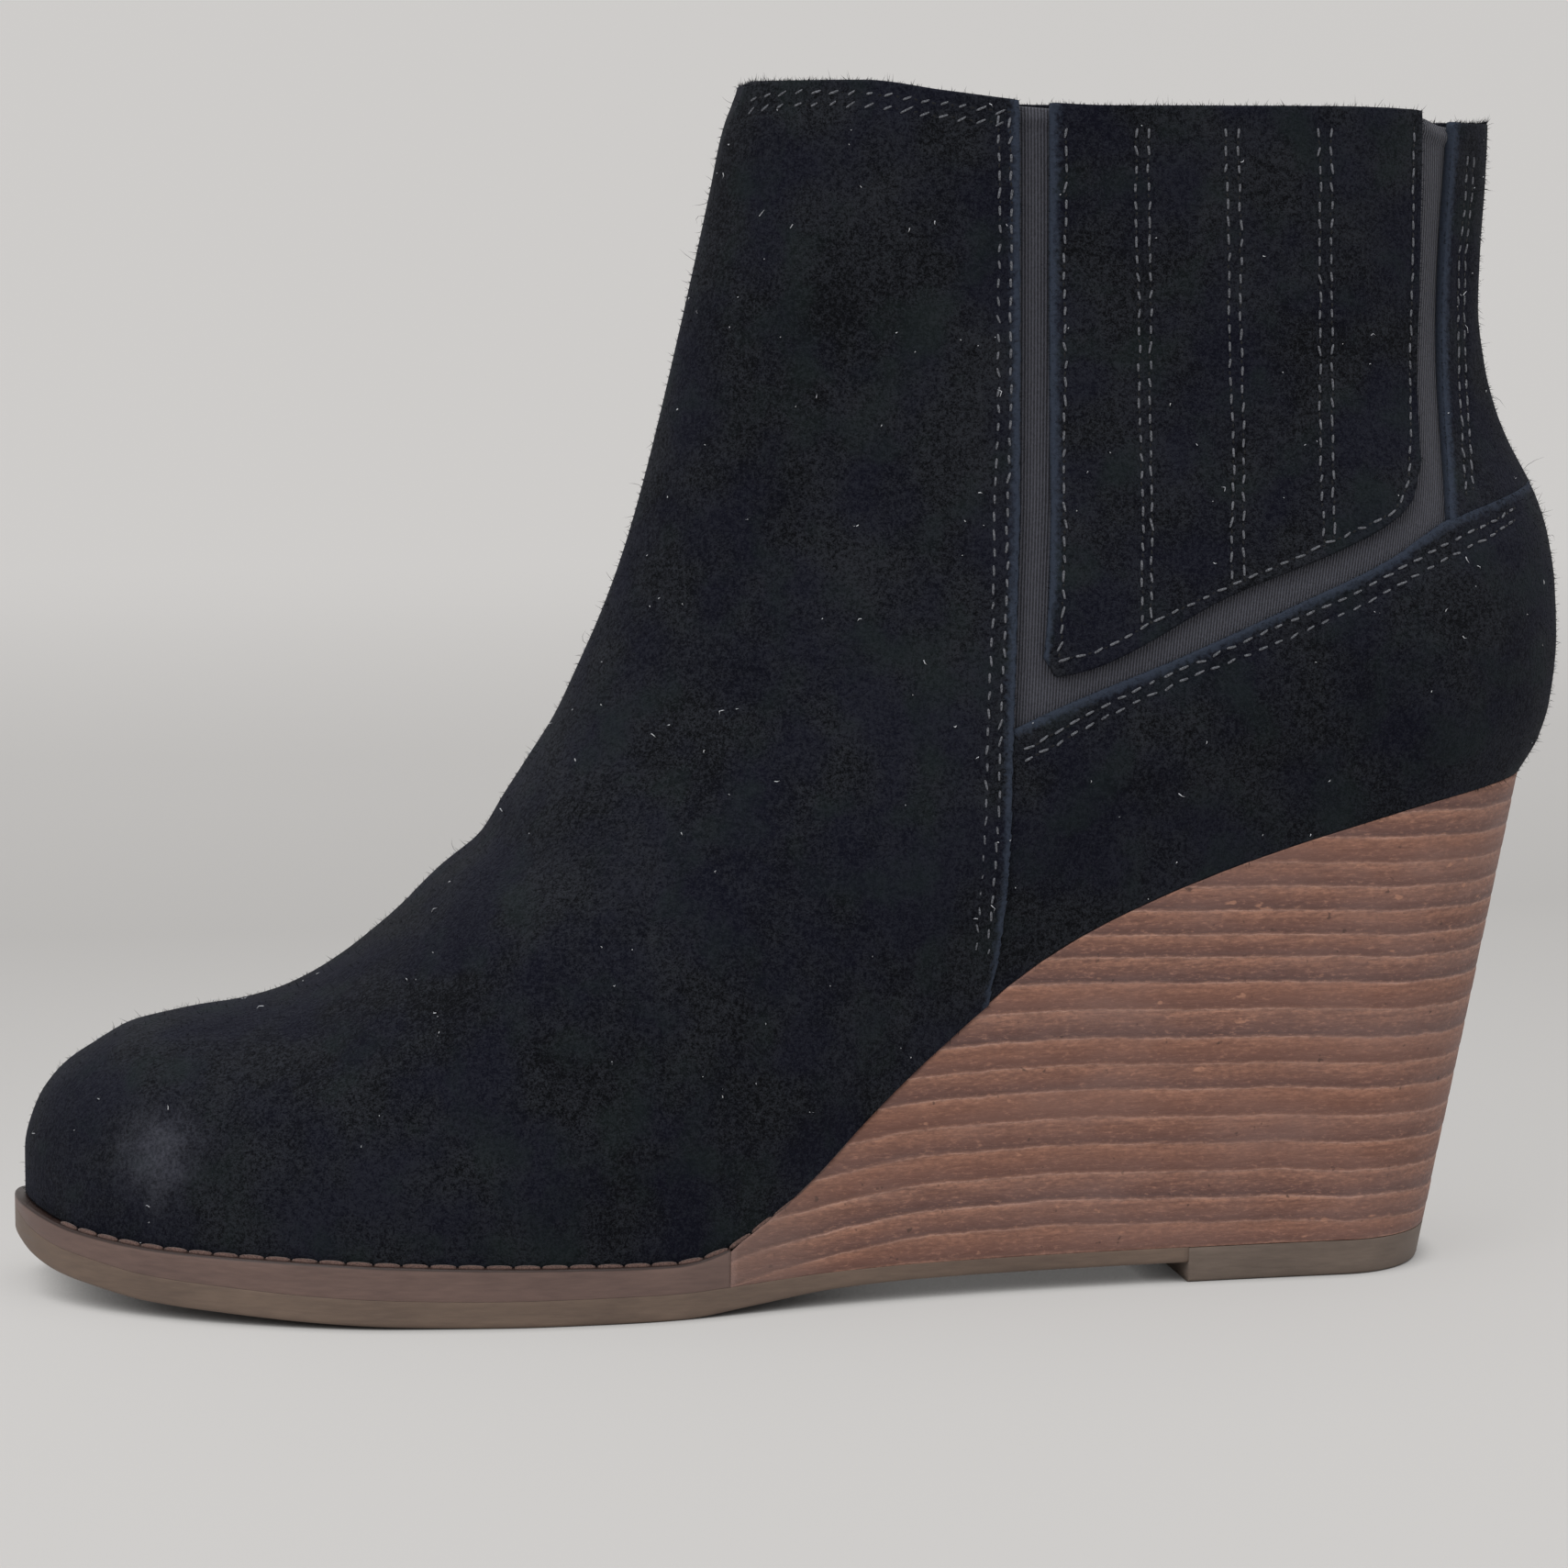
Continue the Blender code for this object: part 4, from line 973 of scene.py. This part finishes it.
def sew(rows, pitch, length, width, raised, material, name, tilt=0.0, start=0.5, fine=(6, 6)):
    """Stitches at a pitch along rows of (along, up) places, on both sides, as one mesh."""
    shape, faces = stitch_shape(*fine)
    stitches = []
    for side in (1, 2):
        for row in rows:
            p, n = on_surface(*seam_curve(row, 300).T, side, raised)
            run = run_along(p)
            count = max(int(run[-1] / pitch), 1)
            at = (np.arange(count) + start) * run[-1] / count
            stray = ROW_WANDER * np.sin(at / WANDER_SHORT + 40 * row[0][0]) * np.sin(at / WANDER_LONG + side)
            middle, up = at_run(at, run, p), at_run(at, run, n)
            way = at_run(at + 0.3 * MM, run, p) - at_run(at - 0.3 * MM, run, p)
            way /= np.linalg.norm(way, axis=1, keepdims=True)
            wide = np.cross(up, way)
            way = way + np.tan(tilt) * wide
            middle = middle + wide * stray[:, None]
            for m, w, s, u in zip(middle, way, wide, up):
                jog = RANDOM.normal(0, STITCH_JOG, 2)
                size = length * (1 + RANDOM.normal(0, STITCH_UNEVEN))
                w = w + RANDOM.normal(0, STITCH_SLANT) * s
                place = m + jog[0] * w + jog[1] * s
                stitches.append(stitch(shape, place, (w, s, u), (size, width, 0.8 * width)))
    return stitch_piece(name, stitches, faces, material)


def build_upper(suede, elastic, lining):
    """Suede pieces, elastic and lining, from the vamp to the inside."""

    def sheet(name, grid, raised, raw, replaced, hairy, thickness=SUEDE):
        leather(name, grid, thickness, suede, "suede", raised, raw, (replaced,), hairy)

    def under_vamp(z):
        return vamp_x(z) - TUCK

    x, z = vamp_places(190, 90)
    raised = VAMP_STEP + mirrored(creases(x, z) + troughs(x, z, VAMP_ROWS + tuple(collar_rows())))
    sheet("vamp", both_sides(x, z), raised, (LEFT, RIGHT), "upper", 0.35, SUEDE + VAMP_STEP)

    x, z = patch(under_vamp, back_x, lambda x: bed_z(x) + GAP, counter_z, 110, 90, wrap=True)
    raised = mirrored(creases(x, z) + troughs(x, z, STITCH_ROWS[7:9]))
    sheet("heel_counter", both_sides(x, z), raised, (TOP,), "counter", 0.25)

    x, z = patch(stay_x, back_x, lambda x: counter_z(x) + GAP, collar_line, 60, 110, wrap=True)
    raised = STAY_STEP + mirrored(troughs(x, z, STITCH_ROWS[9:]))
    sheet("heel_stay", both_sides(x, z), raised, (LEFT, RIGHT), "back_stay", 0.15)

    rows = np.array(GORE_PANEL)
    left, bottom, right = line(rows[:4], 9), top_line(rows[3:11]), line(rows[10:], 9)
    for side, word in ((1, "lateral"), (2, "medial")):
        x, z = patch(left, right, bottom, collar_line, 100, 90)
        raised = PANEL_STEP + troughs(x, z, STITCH_ROWS[:7])
        sheet("gore_panel_on_" + word, surface(x, z, side), raised, (LEFT,), "gore_panel_" + word, 0.15)
        x, z = patch(under_vamp, lambda z: stay_x(z) + TUCK,
                     lambda x: counter_z(x) - TUCK, lambda x: collar_line(x, GORE_DIP / 2), 60, 110)
        grid = surface(x, z, side)
        _, down, along, _ = runs(grid)
        roll = COLLAR_ROLL * np.sin(np.pi * np.clip(down / COLLAR_ROLL_HIGH, 0, 1)) ** 0.7
        groove = ROLL_GROOVE * np.exp(-(((down - COLLAR_ROLL_HIGH) / ROLL_GROOVE_WIDE) ** 2))
        raised = -(SUEDE + GAP) + roll - groove
        leather("elastic_" + word, grid, LINING / 2, elastic, "elastic", raised, across=along / MM)

    t = (1 - np.cos(np.linspace(0, np.pi, 81))) / 2
    rings = []
    for place in np.linspace(0, 1, 90):
        x, z = ring_place(place, t)
        z = z - GORE_DIP * place ** 10
        rings.append(np.concatenate([surface(x, z, 1), surface(x, z, 2)[-2:0:-1]]))
    tube(np.array(rings), "shaft_lining", lining, "insole")


def tube(rings, name, material, slot):
    """Lining all round the inside, as a wall between two offsets from the form."""
    wide = np.concatenate([rings[:, -1:], rings, rings[:, :1]], axis=1)
    out = normals(wide)[:, 1:-1]
    count = rings.shape[1]
    loops = [*(rings - out * LINING_IN), *(rings - out * (LINING_IN + LINING_THICK))[::-1]]
    points = np.concatenate(loops)
    faces = quads(0, len(loops), count, closed=True)
    last = (len(loops) - 1) * count
    faces += [(last + j, last + (j + 1) % count, (j + 1) % count, j) for j in range(count)]
    return piece(name, points, faces, material, slot)


def open_ring(height, x_open, x_tip, ledge, inset, points=160):
    """Outline of a sole piece that is cut straight across at x_open, round its tip."""
    x = x_open + (x_tip - x_open) * np.sin(np.pi * np.linspace(0, 1, points) / 2)
    z = height(x)
    outline = np.concatenate([surface(x, z, 1), surface(x, z, 2)[-2::-1]])
    way = np.gradient(outline[:, :2], axis=0)
    outward = np.c_[way[:, 1], -way[:, 0]]
    outward /= np.linalg.norm(outward, axis=1)[:, None]
    if np.sign(outward[points - 1, 0]) != np.sign(x_tip - x_open):
        outward = -outward
    reach = ledge(outline[:, 0]) if callable(ledge) else ledge
    outline[:, :2] += outward * np.reshape(reach - inset, (-1, 1))
    return outline


def slab(name, loops, material, slot, replaced, **values):
    """A solid through open rings, with a flat end."""
    count = len(loops[0])
    half = count // 2
    faces = quads(0, len(loops), count)
    for first in (0, (len(loops) - 1) * count):
        for j in range(half):
            far = first + count - 1 - j
            faces.append(tuple(dict.fromkeys((first + j, first + j + 1, far - 1, far))))
    starts = [k * count for k in range(len(loops))]
    faces.append(tuple(starts + [start + count - 1 for start in reversed(starts)]))
    return piece(name, np.concatenate(loops), faces, material, slot, replaced, **values)


def between(bottom, top, round_low, round_high, middle=5):
    """Height functions and insets of a side with rounded edges between two heights."""
    levels = []
    for a in np.radians((0, 30, 60, 90)):
        levels.append((lambda x, a=a: bottom(x) + round_low * (1 - np.cos(a)), round_low * (1 - np.sin(a))))
    for share in np.linspace(0, 1, middle + 2)[1:-1]:
        low, high = (lambda x: bottom(x) + round_low), (lambda x: top(x) - round_high)
        levels.append((lambda x, s=share, low=low, high=high: low(x) + (high(x) - low(x)) * s, 0.0))
    for a in np.radians((90, 60, 30, 0)):
        levels.append((lambda x, a=a: top(x) - round_high * (1 - np.cos(a)), round_high * (1 - np.sin(a))))
    return levels


def ledge(x):
    """How far the sole stands out past the upper."""
    return WELT_LEDGE * ease((WEDGE_FRONT_X + LEDGE_ENDS - x) / LEDGE_FADE)


def joint_z(x, level):
    """Height of the stacked wedge at a layer number, over x. Whole numbers are the joints."""
    x = np.asarray(x, float)
    dips = np.array(JOINT_DIP)
    fall = JOINT_FALL * np.clip(x - JOINT_X, 0, None)
    rest = np.interp(x, dips[:, 0] * MM, dips[:, 1]) * MM
    height = np.interp(np.maximum(level, 1), np.arange(len(JOINTS)), JOINTS) * MM - fall - rest
    share = np.clip(level, 0, 1)
    return share * height + (1 - share) * outsole_top_z(x)


def build_wedge(material):
    """The stacked wedge: rows that follow the layers, each from the sole's line to the back."""
    parts = (0.0, 0.05, GROOVE_SHARE, 0.35, 0.6, 0.85, 0.94)
    levels = [k + p for k in range(len(JOINTS) - 1) for p in parts]
    nudge = RANDOM.uniform(-1, 1, len(JOINTS)) * LAYER_OUT
    columns = 150
    loops, layer = [], []
    xs = np.linspace(WEDGE_FRONT_X, HEEL_X, 900)
    for level in levels:
        z = joint_z(xs, level)
        inside = z < bed_z(xs)
        if level > 0 and not inside.any():
            break
        x_open = xs[np.argmax(inside)]
        x_tip = SEAT_BACK_X
        for _ in range(20):
            x_tip = float(back_x(np.minimum(joint_z(x_tip, level), HEEL_HEIGHT - 0.01 * MM)))
        from_joint = min(level % 1, 1 - level % 1)
        groove = -JOINT_GROOVE * max(1 - from_joint / GROOVE_SHARE, 0)
        if x_tip - x_open < SHORTEST_LAYER:
            break
        out = groove + nudge[int(level)]
        ring_points = open_ring(lambda x: np.minimum(joint_z(x, level), bed_z(x)), x_open, x_tip,
                                lambda x: out + ledge(x), 0.0, columns)
        loops.append(ring_points)
        layer.append(np.full(len(ring_points), level))
    top = open_ring(bed_z, x_open, x_tip, ledge, 0.0, columns)
    loops.append(top)
    layer.append(np.full(len(top), level))
    return slab("stacked_wedge", loops, material, "wedge", ("wedge",), layer=np.concatenate(layer))


def build_sole(welt, rubber, tread):
    """Outsole, midsole and heel lift, each with rounded edges."""
    outsole_end, midsole_end = LIFT_FRONT_X - SOLE_JOINT, WEDGE_FRONT_X - SOLE_JOINT
    levels = between(tread_z, outsole_top_z, SOLE_ROUND, 0.05 * MM)
    loops = [open_ring(h, outsole_end, TOE_X, ledge, inset, 260) for h, inset in levels]
    slab("outsole_tread", loops, rubber, "outsole", ("outsole",))
    levels = between(lambda x: outsole_top_z(x) + SOLE_JOINT, bed_z, 0.05 * MM, 0.5 * MM)
    loops = [open_ring(h, midsole_end, TOE_X, ledge, inset, 260) for h, inset in levels]
    top = [np.full(len(loop), float(k >= len(loops) - 3)) for k, loop in enumerate(loops)]
    slab("welt_midsole", loops, welt, "midsole", ("midsole",), ledge=np.concatenate(top))
    bottom, top = (lambda x: np.zeros_like(x)), (lambda x: np.full_like(x, LIFT_THICKNESS - GAP / 3))
    loops = []
    for h, inset in between(bottom, top, SOLE_ROUND, 0.05 * MM):
        tip = float(back_x(h(np.array([0.0]))[0]))
        loops.append(open_ring(h, LIFT_FRONT_X, tip, 0.0, inset, 160))
    slab("heel_lift", loops, tread, "heel_tread", ("heel_tread",))


def welt_stitches(material):
    """Long stitches on the welt's ledge, from behind the toe to the front of the wedge."""
    shape, faces = stitch_shape(6, 6)
    stitches, up = [], np.array([0, 0, 1.0])
    ring = open_ring(
        lambda x: bed_z(x) + 0.1 * MM, WELT_STITCH_END, TOE_X, lambda x: WELT_STITCH_OUT * ledge(x), 0, 400
    )
    run = run_along(ring)
    count = int(run[-1] / WELT_PITCH)
    for at in (np.arange(count) + 0.5) * run[-1] / count:
        place, ahead = at_run(at, run, ring), at_run(at + 1 * MM, run, ring)
        if place[0] < TOE_X + WELT_STITCH_FROM:
            continue
        way = (ahead - place) / np.linalg.norm(ahead - place)
        stitches.append(stitch(shape, place, (way, np.cross(up, way), up), WELT_STITCH_SIZE))
    return stitch_piece("welt_stitches", stitches, faces, material)


def collar_rows():
    """The two stitch rows below the vamp's collar edge."""
    x = np.linspace(station_x(0.4605), station_x(0.6145), 9)
    rows = []
    for below in COLLAR_ROWS_DOWN:
        z = collar_line(x) - below
        start = np.maximum(x, front_x(z) + 1.2 * MM)
        rows.append(np.c_[(start - TOE_X) / LENGTH, z / COLLAR_TOP].tolist())
    return rows


def edge_row():
    """Row at the suede's bottom edge, where the welt's thread comes up beside the wedge."""
    x = np.linspace(EDGE_ROW[0], EDGE_ROW[1], 6)
    return [np.c_[station(x), (bed_z(x) + EDGE_ROW_UP) / COLLAR_TOP].tolist()]


def build_stage():
    """Floor that curves up into a plain wall far behind. Its tone paints a darker band of shade behind the
    boot, and it glows as painted light.
    """
    turns = np.linspace(0, np.pi / 2, 24)[1:]
    run = [(-FLOOR_REACH, 0.0), (WALL_FROM, 0.0)]
    run += [(WALL_FROM + WALL_ROUND * np.sin(a), WALL_ROUND * (1 - np.cos(a))) for a in turns]
    run += [(WALL_FROM + WALL_ROUND, FLOOR_REACH)]
    points = [(x, y, z) for y, z in run for x in (-FLOOR_REACH, FLOOR_REACH)]
    mesh = bpy.data.meshes.new("floor")
    mesh.from_pydata(points, [], quads(0, len(run), 2))
    mesh.shade_smooth()
    floor = show("floor", mesh)
    look = Look("plain_floor", Roughness=0.9, Specular_IOR_Level=0.1)
    away = look.node("SeparateXYZ", {0: look.place}).outputs["Y"]
    # painted shade: the tone dips darker from about 0.4 to 0.7 m behind the boot, then lightens towards the
    # wall
    tone = look.ramp(
        look.span(away, 0.0, 2.0),
        (0.0, 200, 198, 196),
        (0.19, 180, 178, 176),
        (0.30, 186, 184, 182),
        (0.36, 188, 186, 184),
        (0.65, 208, 206, 204),
        (1.0, 210, 208, 206),
    )
    look.set("Base Color", look.mix(GLOW_SHARE, tone, srgb(0, 0, 0)))
    # painted light: the floor glows in its own tone, and the glow fades close to the boot as a painted
    # contact shadow
    open_sky = look.node("AmbientOcclusion", {"Distance": GLOW_FADE}, samples=8).outputs["AO"]
    look.set("Emission Color", look.mix(look.span(open_sky, 0.1, 0.7), srgb(0, 0, 0), tone))
    look.set("Emission Strength", GLOW)
    mesh.materials.append(look.material)


def light(name, place, aim, size, power):
    """A square lamp that faces a place."""
    lamp = bpy.data.lights.new(name, "AREA")
    lamp.shape, lamp.size, lamp.energy = "SQUARE", size, power
    thing = show(name, lamp)
    thing.location = place
    thing.rotation_euler = (Vector(aim) - Vector(place)).to_track_quat("-Z", "Y").to_euler()


def build_camera():
    """The camera, turned round the boot and tilted down at it."""
    turn, tilt = np.radians(CAMERA_TURN), np.radians(CAMERA_TILT)
    ahead = Vector((np.sin(turn) * np.cos(tilt), np.cos(turn) * np.cos(tilt), -np.sin(tilt)))
    right = Vector((np.cos(turn), -np.sin(turn), 0))
    up = right.cross(ahead)
    data = bpy.data.cameras.new("camera")
    data.sensor_width, data.lens = 36, CAMERA_LENS
    camera = show("camera", data)
    spot = Vector(CAMERA_TARGET) - ahead * CAMERA_AWAY
    camera.matrix_world = Matrix.Translation(spot) @ Matrix((right, up, -ahead)).transposed().to_4x4()
    bpy.context.scene.camera = camera


RANDOM = np.random.default_rng(7)
HAIRS = {}
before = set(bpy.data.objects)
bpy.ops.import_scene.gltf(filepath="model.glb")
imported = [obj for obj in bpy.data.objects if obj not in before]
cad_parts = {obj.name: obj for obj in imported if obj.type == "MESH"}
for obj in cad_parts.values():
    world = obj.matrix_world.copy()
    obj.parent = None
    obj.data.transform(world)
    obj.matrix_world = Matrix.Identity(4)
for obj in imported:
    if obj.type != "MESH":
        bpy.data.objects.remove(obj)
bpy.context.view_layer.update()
scene = bpy.context.scene
scene.view_settings.view_transform = "Standard"
world = bpy.data.worlds.new("studio")
world.use_nodes = True
sky = world.node_tree.nodes["Background"].inputs
sky["Color"].default_value = (1, 1, 1, 1)
sky["Strength"].default_value = WORLD_LIGHT
scene.world = world
build_camera()
build_stage()
for lamp in LAMPS:
    light(*lamp)

suede = suede_look()
elastic = elastic_look()
lining = sole_look("leather_lining", srgb(92, 76, 64), srgb(66, 54, 46), 0.6, 1.0)
grey_thread = thread_look("grey_thread", srgb(112, 114, 120), srgb(52, 54, 60))
# painted shade: near-black discs that stand for the shade in the stitch holes
pit_shade = thread_look("painted_stitch_shade", srgb(10, 10, 12), srgb(6, 6, 8))
fuzz = thread_look("suede_hairs", srgb(40, 42, 48), srgb(5, 5, 8), 0.03)
lint = thread_look("pale_lint", srgb(230, 232, 236), srgb(160, 162, 170))
brown_thread = thread_look("brown_thread", srgb(104, 80, 72), srgb(66, 48, 43))
welt = sole_look("waxed_welt", srgb(113, 91, 83), srgb(88, 70, 65), 0.46, top=srgb(34, 19, 15))
rubber = sole_look("brown_outsole", srgb(112, 94, 81), srgb(88, 73, 64), 0.5)
tread = sole_look("rubber_lift", srgb(112, 98, 88), srgb(86, 74, 66), 0.6)
insole_look = sole_look("leather_footbed", srgb(100, 80, 66), srgb(74, 58, 48), 0.55, 1.0)
build_upper(suede, elastic, lining)
build_wedge(wedge_look())
build_sole(welt, rubber, tread)
seams = (
    # name, rows, height of the suede over the form, pitch, length, slant
    ("panel", STITCH_ROWS[:7], PANEL_STEP, STITCH_PITCH, STITCH_LONG, 0.0),
    ("counter", STITCH_ROWS[7:9], 0.0, STITCH_PITCH, STITCH_LONG, 0.0),
    ("stay", STITCH_ROWS[9:], STAY_STEP, STITCH_PITCH, STITCH_LONG, 0.0),
    ("vamp", VAMP_ROWS, VAMP_STEP, STITCH_PITCH, STITCH_LONG, 0.0),
    ("collar", collar_rows(), VAMP_STEP, COLLAR_PITCH, COLLAR_STITCH, 0.5),
)
for word, rows, raised, pitch, length, tilt in seams:
    over, under = raised - TROUGH_DEEP + STITCH_OVER, raised - TROUGH_DEEP - HOLE_UNDER
    sew(rows, pitch, length, STITCH_WIDE, over, grey_thread, word + "_stitches", tilt)
    # painted shade: dark discs between the stitches paint the shade in their holes
    sew(rows, pitch, HOLE_LONG, STITCH_WIDE, under, pit_shade, word + "_shaded_holes", start=1.0, fine=(5, 3))
fuzz_piece("suede_fuzz", HAIRS["short"], FUZZ_THICK, fuzz, 0)
fuzz_piece("suede_fibres", HAIRS["long"], FIBRE_THICK, fuzz, 2)
fuzz_piece("pale_lint", HAIRS["lint"], LINT_THICK, lint, 1)
welt_stitches(brown_thread)
sew(edge_row(), EDGE_PITCH, EDGE_STITCH, STITCH_WIDE, EDGE_OVER, grey_thread, "edge_stitches", tilt=0.7)
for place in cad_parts["insole"].material_slots:
    place.material = insole_look
